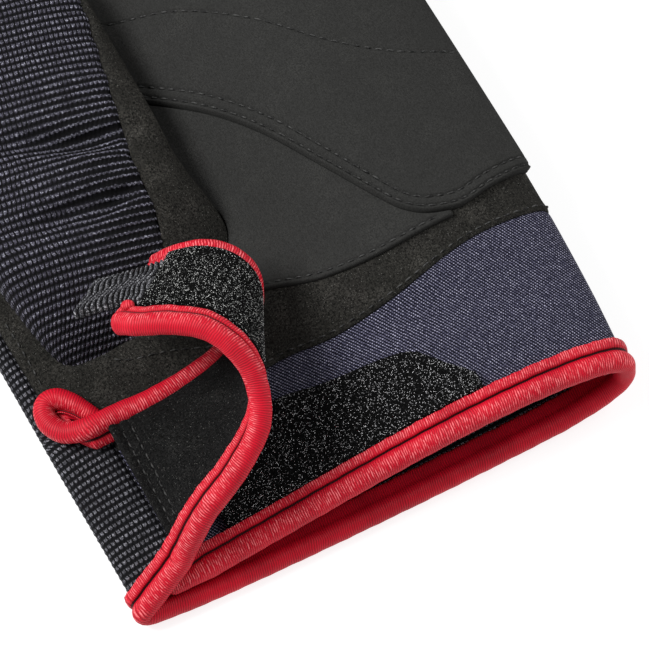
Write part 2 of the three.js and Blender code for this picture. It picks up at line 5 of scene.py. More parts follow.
import bpy
import numpy as np
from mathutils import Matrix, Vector


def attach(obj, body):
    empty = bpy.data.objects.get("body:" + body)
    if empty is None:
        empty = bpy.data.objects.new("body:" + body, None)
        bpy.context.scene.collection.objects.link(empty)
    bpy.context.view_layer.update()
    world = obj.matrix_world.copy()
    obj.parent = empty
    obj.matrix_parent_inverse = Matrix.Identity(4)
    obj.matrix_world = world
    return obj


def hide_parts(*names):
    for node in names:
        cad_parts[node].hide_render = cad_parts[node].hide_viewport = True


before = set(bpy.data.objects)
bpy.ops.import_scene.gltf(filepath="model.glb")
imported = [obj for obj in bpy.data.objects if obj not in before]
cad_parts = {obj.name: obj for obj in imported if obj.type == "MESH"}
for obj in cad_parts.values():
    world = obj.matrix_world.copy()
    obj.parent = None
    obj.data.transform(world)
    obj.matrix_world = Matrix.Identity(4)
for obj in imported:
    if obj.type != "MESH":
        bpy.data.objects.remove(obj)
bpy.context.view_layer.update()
framePlace = np.array([-0.3, -80.287, 0.0])  # from the glove's own zero to the frame's
print("frame loaded:", len(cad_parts), "nodes")

# Camera, floor and light
studio = {
    "aim": (5.7, -44.29, 0.0),
    "azimuth": -29.2,
    "elevation": 65.0,
    "frameWidth": 116.07,
    "lens": 400.0,
    "sensor": 36.0,
    "floorSize": 3.0,
    "floorDrop": 0.00005,
    "floorGlow": 0.8,
    "worldStrength": 0.4,
    "keyPower": 10.5,
    "keySize": 0.4,
    "keyPlace": (-0.55, 0.3, 0.7),
    "sidePower": 2.4,
    "sideSize": 0.4,
    "sidePlace": (0.55, -0.1, 0.45),
}


def pointAt(item, target):
    item.rotation_mode = "QUATERNION"
    item.rotation_quaternion = (Vector(target) - item.location).to_track_quat("-Z", "Y")


def linkObject(name, data):
    item = bpy.data.objects.new(name, data)
    bpy.context.scene.collection.objects.link(item)
    return item


def buildStudio():
    scene = bpy.context.scene
    turn, tilt = math.radians(studio["azimuth"]), math.radians(studio["elevation"])
    back = Vector((math.sin(turn) * math.cos(tilt), -math.cos(turn) * math.cos(tilt), math.sin(tilt)))
    data = bpy.data.cameras.new("camera")
    data.lens, data.sensor_width = studio["lens"], studio["sensor"]
    aim = Vector(studio["aim"]) / 1000
    away = studio["frameWidth"] / 1000 * studio["lens"] / studio["sensor"]
    data.clip_start, data.clip_end = away / 20, away * 5
    camera = linkObject("camera", data)
    camera.location = aim + back * away
    pointAt(camera, aim)
    scene.camera = camera

    world = bpy.data.worlds.new("studio")
    world.use_nodes = True
    world.node_tree.nodes["Background"].inputs["Color"].default_value = (1, 1, 1, 1)
    world.node_tree.nodes["Background"].inputs["Strength"].default_value = studio["worldStrength"]
    scene.world = world
    scene.view_settings.view_transform = "Standard"

    for name in ("key", "side"):
        lamp = bpy.data.lights.new(name, "AREA")
        lamp.energy = studio[name + "Power"]
        lamp.size = studio[name + "Size"]
        item = linkObject(name, lamp)
        item.location = studio[name + "Place"]
        pointAt(item, aim)

    half = studio["floorSize"] / 2
    mesh = bpy.data.meshes.new("floor")
    low = -studio["floorDrop"]
    corners = [(-half, -half, low), (half, -half, low), (half, half, low), (-half, half, low)]
    mesh.from_pydata(corners, [], [(0, 1, 2, 3)])
    floor = linkObject("floor", mesh)
    paper = bpy.data.materials.new("whitePaper")
    paper.use_nodes = True
    shader = paper.node_tree.nodes["Principled BSDF"]
    shader.inputs["Base Color"].default_value = (0.3, 0.3, 0.3, 1)
    shader.inputs["Roughness"].default_value = 0.9
    shader.inputs["Specular IOR Level"].default_value = 0.0
    shader.inputs["Emission Color"].default_value = (1, 1, 1, 1)
    shader.inputs["Emission Strength"].default_value = studio["floorGlow"]
    mesh.materials.append(paper)


buildStudio()
print("studio ready")


# Tables and forms shared by the pieces
# A table's rows are spread evenly from 0 to 1 unless it has a column named at.
def tableOf(columns, *rows):
    table = dict(zip(columns.split(), np.array(rows, float).T))
    table.setdefault("at", np.linspace(0, 1, len(rows)))
    return table


def readTable(table, column, at):
    place, value = table["at"], table[column]
    at = np.asarray(at, float)
    row = np.clip(np.searchsorted(place, at) - 1, 0, len(place) - 2)
    span = place[row + 1] - place[row]
    t = np.clip((at - place[row]) / span, 0, 1)
    chord = np.diff(value) / np.diff(place)
    middle = (value[2:] - value[:-2]) / (place[2:] - place[:-2])
    slope = np.concatenate([chord[:1], middle, chord[-1:]])
    t2, t3 = t * t, t * t * t
    start = (2 * t3 - 3 * t2 + 1) * value[row] + (t3 - 2 * t2 + t) * span * slope[row]
    return start + (3 * t2 - 2 * t3) * value[row + 1] + (t3 - t2) * span * slope[row + 1]


def lerp(a, b, t):
    return a + (b - a) * t


def smooth(x, low, high):
    t = np.clip((x - low) / (high - low), 0, 1)
    return t * t * (3 - 2 * t)


def unit(v):
    return v / np.maximum(np.linalg.norm(v, axis=-1, keepdims=True), 1e-9)


def bell(x, width):
    return np.exp(-((x / width) ** 2))


def row(count):
    return np.linspace(0, 1, count)[None]


def column(count):
    return np.linspace(0, 1, count)[:, None]


hand = {
    "width": 99.0,
    "length": 118.0,
    "height": 21.0,
    "wall": 1.3,
    "mouthLean": 3.0,
    "mouthSkew": 1.2,
    "mouthSetback": 0.4,
    "heelFrom": 4.0,
    "heelTo": 16.0,
    "roundness": 0.6,
    "underFlatness": 1.25,
    "seamGap": 0.3,
    "evenAt": 60.0,
}
handSections = tableOf(
    "at half shift leftSide rightSide leftTop rightTop riseFrom riseTo",
    (0.00, 0.490, -0.018, 0.16, 0.42, 0.37, 0.87, -1.0, 1.0),
    (0.12, 0.496, -0.010, 0.17, 0.42, 0.40, 0.93, -0.7, 0.7),
    (0.28, 0.501, -0.004, 0.18, 0.42, 0.43, 0.98, -0.4, 0.5),
    (0.45, 0.502, 0.000, 0.19, 0.42, 0.45, 1.00, -0.3, 0.45),
    (0.70, 0.502, 0.002, 0.20, 0.40, 0.46, 0.98, -0.3, 0.45),
    (0.88, 0.503, 0.002, 0.22, 0.38, 0.50, 0.88, -0.1, 0.45),
    (1.00, 0.500, 0.002, 0.23, 0.36, 0.52, 0.76, 0.0, 0.4),
)
foldColumns = "x y reach breadth height turn"
palmFolds = tableOf(
    foldColumns,
    (-0.01, 0.52, 0.24, 0.06, -0.09, 6),
    (0.03, 0.29, 0.16, 0.04, 0.05, 74),
    (0.26, 0.62, 0.22, 0.14, 0.05, 12),
    (0.18, 0.20, 0.20, 0.05, -0.04, 82),
    (0.36, 0.86, 0.16, 0.05, -0.06, 60),
)
binding = {
    "roll": 2.0,
    "flangeReach": 2.0,
    "flangeWall": 0.8,
    "ringPitch": 0.3,
    "ribPitch": 0.42,
    "wristStart": 0.425,
    "innerWall": 0.5,
    "innerReach": 4.2,
    "strapReach": 3.7,
    "wristTo": -0.53,
}
clothSetback = binding["roll"] + hand["seamGap"]


def foldHeight(folds, x, y, across, along, height):
    total = 0.0
    for fx, fy, reach, breadth, lift, turn in zip(*(folds[c] for c in foldColumns.split())):
        dx, dy = x - fx * across, y - fy * along
        s, c = math.sin(math.radians(turn)), math.cos(math.radians(turn))
        u = (-dx * s + dy * c) / (reach * across)
        v = (dx * c + dy * s) / (breadth * across)
        total = total + lift * height * np.exp(-u * u - v * v)
    return total


def handPoint(angle, y, inset=0.0):
    angle, y, inset = np.broadcast_arrays(angle, y, inset)
    share = np.clip(y / hand["length"], 0, 1)
    form = {c: readTable(handSections, c, share) for c in handSections}
    c, s = np.cos(angle), np.sin(angle)
    bulge = np.abs(s) ** hand["roundness"]
    x = form["shift"] * hand["width"] + (form["half"] * hand["width"] - inset) * c
    side = lerp(form["leftSide"], form["rightSide"], (c + 1) / 2) * hand["height"]
    climb = smooth(c, form["riseFrom"], form["riseTo"])
    top = lerp(form["leftTop"], form["rightTop"], climb) * hand["height"] - inset
    top = top + foldHeight(palmFolds, x, y, hand["width"], hand["length"], hand["height"])
    heel = (binding["roll"] - hand["wall"] / 2) * (1 - smooth(y, hand["heelFrom"], hand["heelTo"]))
    under = side - (side - inset - heel) * np.minimum(1, hand["underFlatness"] * bulge)
    return np.stack([x, y, np.where(s >= 0, side + (top - side) * bulge, under)], -1)


# The angle round a tube's section at which it has the given x.
def sectionAngle(sections, x, share, width, centre=0.0, least=-0.998, most=0.998):
    centre = centre + readTable(sections, "shift", share) * width
    return np.arccos(np.clip((x - centre) / (readTable(sections, "half", share) * width), least, most))


def handAngle(x, y):
    share = np.clip(np.asarray(y, float) / hand["length"], 0, 1)
    return sectionAngle(handSections, x, share, hand["width"])


def palmTop(x, y, lift=0.0):
    return handPoint(handAngle(x, y), y, -np.asarray(lift, float))


def palmNormal(x, y):
    step = 0.2
    return unit(np.cross(palmTop(x + step, y) - palmTop(x - step, y), palmTop(x, y + step) - palmTop(x, y - step)))


def mouthY(angle):
    return hand["mouthLean"] / 2 * np.sin(angle) - hand["mouthSkew"] * np.cos(angle) + hand["mouthSetback"]


# Mesh making
def gridNormals(points):
    return unit(np.cross(np.gradient(points, axis=0), np.gradient(points, axis=1)))


def gridFaces(rows, columns, start=0, flip=False):
    r, c = np.meshgrid(np.arange(rows - 1), np.arange(columns - 1), indexing="ij")
    a = (start + r * columns + c).ravel()
    faces = np.stack([a, a + columns, a + columns + 1, a + 1], -1)
    return faces[:, ::-1] if flip else faces


def rimOf(rows, columns, start=0):
    index = start + np.arange(rows * columns).reshape(rows, columns)
    return np.concatenate([index[0, :-1], index[:-1, -1], index[-1, :0:-1], index[:0:-1, 0]])


def gridLength(points, axis):
    step = np.linalg.norm(np.diff(points, axis=axis), axis=-1)
    return np.insert(np.cumsum(step, axis=axis), 0, 0, axis=axis)


def borderDistance(points, sides):
    along, across = gridLength(points, 0), gridLength(points, 1)
    found = {"start": along, "end": along[-1:] - along, "first": across, "last": across[:, -1:] - across}
    return np.minimum.reduce([found[s] for s in sides])


# Closed cloth between a fine outer grid and an inner one with every step-th point.
def shell(outer, wall, step=4, cloth=None, finish=0, inner=None, innerFinish=None):
    rows, columns = outer.shape[:2]
    assert (rows - 1) % step == 0 and (columns - 1) % step == 0, (rows, columns, step)
    if inner is None:
        inner = (outer - gridNormals(outer) * wall)[::step, ::step]
    count = rows * columns
    small = inner.shape[:2]
    faces = [gridFaces(rows, columns), gridFaces(*small, start=count, flip=True)]
    out = np.append(rimOf(rows, columns), 0)
    low = np.append(rimOf(*small, start=count), count)
    rim = []
    for j in range(len(low) - 1):
        a, half = j * step, j * step + step // 2
        rim += [(out[i], out[i + 1], low[j]) for i in range(a, half)]
        rim.append((low[j + 1], low[j], out[half]))
        rim += [(out[i], out[i + 1], low[j + 1]) for i in range(half, a + step)]
    if cloth is None:
        cloth = np.zeros(outer.shape)
    return {
        "points": np.concatenate([outer.reshape(-1, 3), inner.reshape(-1, 3)]),
        "cloth": np.concatenate([cloth.reshape(-1, 3), cloth[::step, ::step].reshape(-1, 3)]),
        "faces": [faces[0], faces[1], np.array(rim)],
        "finish": [finish, finish if innerFinish is None else innerFinish, finish],
    }


# Closed tube through rings of points, with the ends filled by fans.
def tube(rings, cloth=None, finish=0):
    rows, columns = rings.shape[:2]
    wrapped = np.arange(rows * columns).reshape(rows, columns)
    a, b = wrapped[:-1], np.roll(wrapped, -1, 1)[:-1]
    c, d = np.roll(wrapped, -1, 1)[1:], wrapped[1:]
    sides = np.stack([a, b, c, d], -1).reshape(-1, 4)
    points = np.concatenate([rings.reshape(-1, 3), rings[:1].mean(1), rings[-1:].mean(1)])
    first, last = wrapped[0], wrapped[-1]
    ends = [np.stack([np.roll(first, -1), first, np.full(columns, rows * columns)], -1)]
    ends.append(np.stack([last, np.roll(last, -1), np.full(columns, rows * columns + 1)], -1))
    if cloth is None:
        cloth = np.zeros(rings.shape)
    cloth = np.concatenate([cloth.reshape(-1, 3), cloth[:1].mean(1), cloth[-1:].mean(1)])
    return turnedOut({"points": points, "cloth": cloth, "faces": [sides, *ends], "finish": [finish] * 3})


def turnedOut(part):
    volume = 0.0
    for faces in part["faces"]:
        for i in range(1, faces.shape[1] - 1):
            a, b, c = (part["points"][faces[:, j]] for j in (0, i, i + 1))
            volume += np.einsum("ij,ij->i", a, np.cross(b, c)).sum()
    if volume < 0:
        part["faces"] = [faces[:, ::-1] for faces in part["faces"]]
    return part


def meshOf(name, parts):
    points = np.concatenate([p["points"] for p in parts])
    cloth = np.concatenate([p["cloth"] for p in parts])
    starts = np.cumsum([0] + [len(p["points"]) for p in parts])
    corners, sizes, kinds = [], [], []
    for part, start in zip(parts, starts):
        for faces, finish in zip(part["faces"], part["finish"]):
            corners.append((faces + start).ravel())
            sizes.append(np.full(len(faces), faces.shape[1]))
            kinds.append(np.broadcast_to(finish, len(faces)))
    corners, sizes, kinds = (np.concatenate(x) for x in (corners, sizes, kinds))
    mesh = bpy.data.meshes.new(name)
    mesh.vertices.add(len(points))
    mesh.vertices.foreach_set("co", ((points + framePlace) / 1000).astype(np.float32).ravel())
    mesh.loops.add(len(corners))
    mesh.loops.foreach_set("vertex_index", corners.astype(np.int32))
    mesh.polygons.add(len(sizes))
    mesh.polygons.foreach_set("loop_start", np.concatenate([[0], np.cumsum(sizes)[:-1]]).astype(np.int32))
    mesh.polygons.foreach_set("material_index", kinds.astype(np.int32))
    mesh.polygons.foreach_set("use_smooth", np.ones(len(sizes), bool))
    places = mesh.attributes.new("cloth", "FLOAT_VECTOR", "POINT").data
    places.foreach_set("vector", cloth.astype(np.float32).ravel())
    mesh.update(calc_edges=True)
    return mesh


# A part less a closed cutter, as a new part without faces folded flat onto each other.
def trimmed(part, cutter, finish=0):
    body = linkObject("trimBody", meshOf("trimBody", [part]))
    blade = linkObject("trimBlade", meshOf("trimBlade", [cutter]))
    cut = body.modifiers.new("cut", "BOOLEAN")
    cut.operation, cut.solver, cut.object = "DIFFERENCE", "MANIFOLD", blade
    made = body.evaluated_get(bpy.context.evaluated_depsgraph_get())
    mesh = made.to_mesh()
    mesh.calc_loop_triangles()
    points = np.empty(len(mesh.vertices) * 3, np.float32)
    mesh.vertices.foreach_get("co", points)
    cloth = np.zeros(len(points), np.float32)
    mesh.attributes["cloth"].data.foreach_get("vector", cloth)
    faces = np.empty(len(mesh.loop_triangles) * 3, np.int32)
    mesh.loop_triangles.foreach_get("vertices", faces)
    faces = faces.reshape(-1, 3)
    _, kind, times = np.unique(np.sort(faces, 1), axis=0, return_inverse=True, return_counts=True)
    faces = faces[times[kind.ravel()] == 1]
    used, faces = np.unique(faces, return_inverse=True)
    print("trimmed", len(part["points"]), "to", len(used), "points")
    result = {
        "points": points.reshape(-1, 3)[used] * 1000.0 - framePlace,
        "cloth": cloth.reshape(-1, 3)[used],
        "faces": [faces.reshape(-1, 3)],
        "finish": [finish],
    }
    made.to_mesh_clear()
    for item in (body, blade):
        data = item.data
        bpy.data.objects.remove(item)
        bpy.data.meshes.remove(data)
    return result


def makePiece(name, parts, finishes, nodes):
    mesh = meshOf(name, parts)
    mesh.validate()
    for finish in finishes:
        mesh.materials.append(finish)
    piece = linkObject(name, mesh)
    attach(piece, "root")
    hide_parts(*nodes)
    mesh.calc_loop_triangles()
    print(name, "made,", len(mesh.loop_triangles), "triangles")


# Grid steps from 0 to length that bunch up near the marks.
def spacing(length, marks, fine, coarse, count, width=0.9):
    at = np.linspace(0, length, 4000)
    density = np.full(len(at), 1 / coarse)
    for mark in marks:
        density += (1 / fine - 1 / coarse) * bell(at - mark, width)
    total = np.insert(np.cumsum((density[1:] + density[:-1]) / 2 * np.diff(at)), 0, 0)
    return np.interp(np.linspace(0, total[-1], count), total, at)


def resample(line, pitch):
    length = gridLength(line, 0)
    count = max(2, int(round(length[-1] / pitch)) + 1)
    at = np.linspace(0, length[-1], count)
    return np.stack([np.interp(at, length, line[:, i]) for i in range(line.shape[1])], -1)


# Many closed tubes of one form, from an array of their rings.
def copies(rings, finish):
    count = len(rings)
    points = np.concatenate([rings.reshape(count, -1, 3), rings[:, :1].mean(2), rings[:, -1:].mean(2)], 1)
    offset = np.arange(count)[:, None, None] * points.shape[1]
    one = tube(rings[0])["faces"]
    faces = [(f[None] + offset).reshape(-1, f.shape[1]) for f in one]
    kinds = [np.repeat(np.broadcast_to(finish, count), len(f)) for f in one]
    points = points.reshape(-1, 3)
    return {"points": points, "cloth": points, "faces": faces, "finish": kinds}


thread = {"pitch": 2.05, "length": 1.55, "width": 0.34, "rise": 0.1, "sink": 0.35, "sides": 6, "rings": 7}


# Stitches lying along a line of points with the way up given for each.
def stitches(line, up):
    pitch, length, width = thread["pitch"], thread["length"], thread["width"]
    both = resample(np.concatenate([line, up], 1), pitch / 12)
    run = gridLength(both[:, :3], 0)
    count = int((run[-1] - length) // pitch) + 1
    start = np.arange(count) * pitch + (run[-1] - (count - 1) * pitch - length) / 2
    t = np.linspace(0, 1, thread["rings"])
    at = start[:, None] + t * length
    place, lift = (np.stack([np.interp(at, run, both[:, i]) for i in axes], -1) for axes in ((0, 1, 2), (3, 4, 5)))
    lift = unit(lift)
    side = unit(np.cross(lift, unit(np.gradient(place, axis=1))))
    arch = np.sin(np.pi * t)
    swell = np.maximum(arch**0.45, 0.12) * width / 2
    height = thread["rise"] * arch - width * thread["sink"] * (1 - arch**0.7)
    turn = (np.arange(thread["sides"]) * 2 * np.pi / thread["sides"])[:, None]
    around = side[:, :, None] * np.cos(turn) + lift[:, :, None] * np.sin(turn)
    middle = place + lift * height[None, :, None]
    return copies(middle[:, :, None] + swell[None, :, None, None] * around, 1)


# Distance in the plan from points to an open line.
def planDistance(x, y, line):
    best = np.full(np.broadcast(x, y).shape, 1e9)
    for (ax, ay), (bx, by) in zip(line[:-1], line[1:]):
        dx, dy = bx - ax, by - ay
        t = np.clip(((x - ax) * dx + (y - ay) * dy) / (dx * dx + dy * dy + 1e-12), 0, 1)
        best = np.minimum(best, np.hypot(x - ax - t * dx, y - ay - t * dy))
    return best


# A line in the plan moved sideways to its left.
def offsetLine(line, by):
    run = unit(np.gradient(line, axis=0))
    return line + np.stack([-run[:, 1], run[:, 0]], -1) * by


def palmRow(line, lift):
    x, y = line[:, 0], line[:, 1]
    return stitches(palmTop(x, y, lift), palmNormal(x, y))


print("tools ready")


# Finishes
def colour(*parts):
    return (*(((v / 255 + 0.055) / 1.055) ** 2.4 if v > 10 else v / 255 / 12.92 for v in parts), 1.0)


# A value that a material works out at each point. It adds and multiplies like a plain number.
class Field:
    def __init__(self, tree, socket):
        self.tree, self.socket = tree, socket

    def __add__(self, other):
        return calc("ADD", self, other)

    def __sub__(self, other):
        return calc("SUBTRACT", self, other)

    def __mul__(self, other):
        return calc("MULTIPLY", self, other)

    def __truediv__(self, other):
        return calc("DIVIDE", self, other)

    def sibling(self, output):
        return Field(self.tree, self.socket.node.outputs[output])


# One output of a new node, its inputs fed with fields or set to constants.
def worked(tree, kind, output, inputs, **settings):
    node = tree.nodes.new("ShaderNode" + kind)
    for key, value in settings.items():
        setattr(node, key, value)
    for key, value in inputs.items():
        if isinstance(value, Field):
            tree.links.new(value.socket, node.inputs[key])
        else:
            node.inputs[key].default_value = value
    return Field(tree, node.outputs[output])


def calc(operation, first, *rest):
    return worked(first.tree, "Math", 0, dict(enumerate((first, *rest))), operation=operation)


def axesOf(place):
    x = worked(place.tree, "SeparateXYZ", 0, {0: place})
    return x, x.sibling(1), x.sibling(2)


# Place on the object in millimetres
def placeOf(material):
    spot = worked(material.node_tree, "TexCoord", "Object", {})
    return worked(spot.tree, "VectorMath", 0, {0: spot, "Scale": 1000.0}, operation="SCALE")


# Place on the cloth as it was cut, in millimetres
def clothOf(material):
    return worked(material.node_tree, "Attribute", "Vector", {}, attribute_name="cloth", attribute_type="GEOMETRY")


def noiseOf(place, scale, detail=2.0, roughness=0.5, stretch=None):
    if stretch:
        place = worked(place.tree, "VectorMath", 0, {0: place, 1: stretch}, operation="MULTIPLY")
    inputs = {"Vector": place, "Scale": scale, "Detail": detail, "Roughness": roughness}
    return worked(place.tree, "TexNoise", "Fac", inputs)


def rangeOf(value, low, high, toLow=0.0, toHigh=1.0, kind="SMOOTHSTEP"):
    inputs = {"Value": value, "From Min": low, "From Max": high, "To Min": toLow, "To Max": toHigh}
    return worked(value.tree, "MapRange", "Result", inputs, interpolation_type=kind)


# Two colours mixed by a share; each is a field or its red, green and blue up to 255.
def blendOf(share, low, high):
    low, high = (value if isinstance(value, Field) else colour(*value) for value in (low, high))
    return worked(share.tree, "Mix", 2, {"Factor": share, 6: low, 7: high}, data_type="RGBA")


def waveOf(value, pitch):
    return calc("COSINE", value * (2 * math.pi / pitch)) * 0.5 + 0.5


# A value between 0 and 1 that is the same all over each cell of two places counted in cells.
def cellNoise(x, y):
    cell = {0: calc("FLOOR", x + 0.5), 1: calc("FLOOR", y + 0.5)}
    return worked(x.tree, "TexWhiteNoise", "Value", {"Vector": worked(x.tree, "CombineXYZ", 0, cell)})


def newFinish(name, roughness, specular):
    material = bpy.data.materials.new(name)
    material.use_nodes = True
    shader = material.node_tree.nodes["Principled BSDF"]
    shader.inputs["Roughness"].default_value = roughness
    shader.inputs["Specular IOR Level"].default_value = specular
    return material


# The material with its colour, a relief of a depth in millimetres, and perhaps its roughness.
def dressed(material, shown, height, depth, roughness=None):
    tree = material.node_tree
    relief = worked(tree, "Bump", "Normal", {"Height": height, "Distance": depth / 1000, "Strength": 1.0})
    for name, field in (("Base Color", shown), ("Normal", relief), ("Roughness", roughness)):
        if field:
            tree.links.new(field.socket, tree.nodes["Principled BSDF"].inputs[name])
    return material


# Brushed suede: fine nap in clumps, with lighter rubbed patches and light flecks.
def suedeFinish(name, dark, light, rubbed, napScale=2.6, depth=0.12, patches=0.6, flecks=0.7):
    material = newFinish(name, 0.95, 0.06)
    place = placeOf(material)
    nap = noiseOf(place, napScale, 5, 0.8)
    fibre = noiseOf(place, 1.7, 3, 0.7, stretch=(3.2, 0.9, 1.5))
    both = nap * 0.68 + fibre * 0.32
    ground = blendOf(rangeOf(both, 0.38, 0.62), dark, light)
    worn = rangeOf(noiseOf(place, 0.16, 4, 0.6), 0.45, 0.7) * rangeOf(nap, 0.44, 0.6) * patches
    fleck = rangeOf(noiseOf(place, 4.4, 2, 0.6), 0.66, 0.74) * flecks
    shown = blendOf(fleck, blendOf(worn, ground, rubbed), (132, 131, 127))
    return dressed(material, shown, both, depth)


# Ribbed knit, its cloth place across, along and stretch. Rows of light yarn cross dark column gaps, and where
# the cloth is stretched the rows run on as thin lines over a darker ground.
knit = {"rowPitch": 1.36, "columnPitch": 0.92}


def ribbedFinish(name, deep, ground, yarn, glint):
    material = newFinish(name, 0.8, 0.12)
    across, along, stretch = axesOf(clothOf(material))
    place = placeOf(material)
    sway = (noiseOf(place, 0.8) - 0.5) * 0.4
    across = across + sway
    columns = waveOf(across, knit["columnPitch"])
    along = along + (sway * 0.3 + columns * 0.16)
    rows = waveOf(along, knit["rowPitch"])
    chance = cellNoise(across / knit["columnPitch"], along / knit["rowPitch"])
    crest = rangeOf(rows, stretch * 0.3 + 0.4, stretch * 0.1 + 0.86)
    gap = rangeOf(columns, 0.08, 0.36)
    bridged = calc("MAXIMUM", gap, stretch * rangeOf(chance, 0.0, 1.0, 0.55, 0.95))
    grain = rangeOf(noiseOf(place, 3.0, 3, 0.75), 0.34, 0.62, 0.3, 1.0)
    light = crest * bridged * grain * rangeOf(chance, 0.0, 1.0, 0.45, 1.0)
    rest = gap * rangeOf(rows, 0.02, 0.26) * (stretch * -0.8 + 1.0)
    worn = rangeOf(noiseOf(place, 2.1, 3, 0.7), 0.3, 0.7, 0.4, 1.0)
    body = blendOf(light, blendOf(rest * worn, deep, ground), yarn)
    spark = light * rangeOf(noiseOf(place, 4.1, 2, 0.7), 0.5, 0.64)
    return dressed(material, blendOf(spark, body, glint), light * 0.5 + columns * 0.6, 0.2)


# Fine stretch knit: a small twill of light loops on dark ground.
def knitFinish(name, dark, light, glint):
    material = newFinish(name, 0.85, 0.1)
    place = placeOf(material)
    x, y, _ = axesOf(place)
    sway = (noiseOf(place, 0.9) - 0.5) * 0.25
    twill = waveOf(x * 0.86 + y * 0.5 + sway, 0.5)
    cross = waveOf(y - x * 0.3, 0.44)
    weave = (twill + twill * cross) * 0.2 + noiseOf(place, 3.1, 3, 0.8) * 0.74
    ground = blendOf(rangeOf(weave, 0.38, 0.7), dark, light)
    return dressed(material, blendOf(rangeOf(weave, 0.66, 0.84), ground, glint), weave, 0.14)


# Satin binding tape: fine ribs and wrinkles, with painted highlight streaks where the painted light share is high
# and painted shade in the groove where it is negative; cloth place is along, round and painted light share.
def bindingFinish(name, deep, main, highlight):
    material = newFinish(name, 0.5, 0.22)
    cloth = clothOf(material)
    along, around, paintedLightShare = axesOf(cloth)
    drift = (noiseOf(cloth, 0.3) - 0.5) * 0.8
    rib = waveOf(along + drift + around * 0.12, binding["ribPitch"])
    # Streaky noise for the wrinkles' relief, which also places the painted highlight streaks.
    wrinkleStreaks = noiseOf(cloth, 1.0, 3, 0.7, stretch=(3.4, 0.5, 1.0))
    tone = rib * 0.4 + noiseOf(placeOf(material), 0.15, 3) * 0.6
    ground = blendOf(rangeOf(tone, 0.15, 0.75), deep, main)
    # Painted highlight: light streaks on the ribs and wrinkles, strongest where the painted light share is high.
    lit = rangeOf(rib, 0.3, 0.9) * rangeOf(wrinkleStreaks, 0.44, 0.62) * rangeOf(paintedLightShare, 0.3, 1.0)
    shown = blendOf(lit * 0.85, ground, highlight)
    # Painted shade: near-black red in the groove, where the painted light share is negative.
    shown = blendOf(rangeOf(paintedLightShare, -0.9, 0.0), (38, 3, 8), shown)
    return dressed(material, shown, rib + wrinkleStreaks * 0.8, 0.035, rangeOf(rib, 0.0, 1.0, 0.65, 0.5))


# Touch-fastener ground: black, dotted with painted highlights on the ends of the pile.
def tapeFinish(name, dark, light, tipHighlight, scale, share):
    material = newFinish(name, 0.9, 0.06)
    place = placeOf(material)
    speck = noiseOf(place, 3.0, 3, 0.8)
    away = worked(place.tree, "TexVoronoi", "Distance", {"Vector": place, "Scale": scale, "Randomness": 1.0})
    chance = rangeOf(axesOf(away.sibling("Color"))[0], 1 - share, 1.0, kind="LINEAR")
    # Painted highlight: light dots on a share of the cells, standing for light caught by the pile's ends.
    tipHighlights = rangeOf(away, 0.2, 0.3, 1.0, 0.0) * chance
    ground = blendOf(rangeOf(speck, 0.45, 0.8), dark, light)
    return dressed(material, blendOf(tipHighlights, ground, tipHighlight), speck + tipHighlights, 0.2)


def fibreFinish(name, low, high, roughness=0.6):
    material = newFinish(name, roughness, 0.25)
    place = placeOf(material)
    shown = blendOf(rangeOf(noiseOf(place, 1.3, 2, 0.6), 0.35, 0.65), low, high)
    return dressed(material, shown, noiseOf(place, 7.0), 0.03)


# Webbing: ribs across its length, crossed by finer picks; cloth place is along and across.
webbing = {"ribPitch": 0.98, "sway": 0.4}


def webbingFinish(name, dark, light, glint):
    material = newFinish(name, 0.75, 0.12)
    along, across, _ = axesOf(clothOf(material))
    rib = waveOf(along, webbing["ribPitch"])
    pick = waveOf(across + rib * 0.25, 0.6)
    grain = noiseOf(placeOf(material), 3.2, 3, 0.75)
    weave = rib * (pick * 0.5 + 0.5) * 0.76 + grain * 0.24
    ground = blendOf(rangeOf(weave, 0.2, 0.8), dark, light)
    return dressed(material, blendOf(rib * rangeOf(grain, 0.5, 0.66), ground, glint), weave, 0.2)


baseSuede = suedeFinish("baseSuede", (13, 13, 12), (47, 46, 43), (71, 69, 65))
strapSuede = suedeFinish("strapSuede", (6, 6, 6), (26, 26, 26), (42, 42, 41))
overlaySuede = suedeFinish("overlaySuede", (36, 36, 35), (50, 50, 49), (61, 61, 59), 3.6, 0.06, 0.4, 0.12)
thumbKnit = ribbedFinish("thumbKnit", (2, 2, 3), (32, 30, 38), (82, 80, 93), (182, 182, 196))
backKnit = ribbedFinish("backKnit", (4, 4, 6), (18, 18, 22), (96, 96, 103), (176, 176, 184))
navyKnit = knitFinish("navyKnit", (7, 7, 16), (72, 71, 91), (188, 187, 206))
# The third colour of each binding is its painted highlight.
redBinding = bindingFinish("redBinding", (138, 4, 24), (202, 9, 38), (250, 132, 136))
# A darker copy of the binding with a dimmer painted highlight, as painted shade for the hollow in the slit
# binding's turn.
shadedRedHollow = bindingFinish("shadedRedHollow", (118, 4, 20), (180, 9, 34), (206, 48, 62))
# Their fourth colour is the pile ends' painted highlight.
loopGround = tapeFinish("loopGround", (5, 5, 5), (20, 20, 21), (236, 236, 238), 3.3, 0.6)
hookGround = tapeFinish("hookGround", (3, 3, 3), (10, 10, 10), (236, 238, 234), 3.6, 0.6)
# The pile's own dark fibres, and light copies that paint highlights on a share of the arcs.
loopDark = fibreFinish("loopDark", (8, 8, 8), (36, 36, 38))
loopHighlight = fibreFinish("loopHighlight", (150, 150, 154), (250, 250, 252), 0.45)
hookDark = fibreFinish("hookDark", (6, 6, 6), (34, 34, 35))
hookHighlight = fibreFinish("hookHighlight", (104, 104, 106), (240, 241, 238), 0.5)
webbingGrey = webbingFinish("webbingGrey", (2, 2, 3), (62, 62, 66), (186, 186, 191))
darkThread = fibreFinish("darkThread", (12, 12, 12), (66, 66, 65))
print("finishes ready")


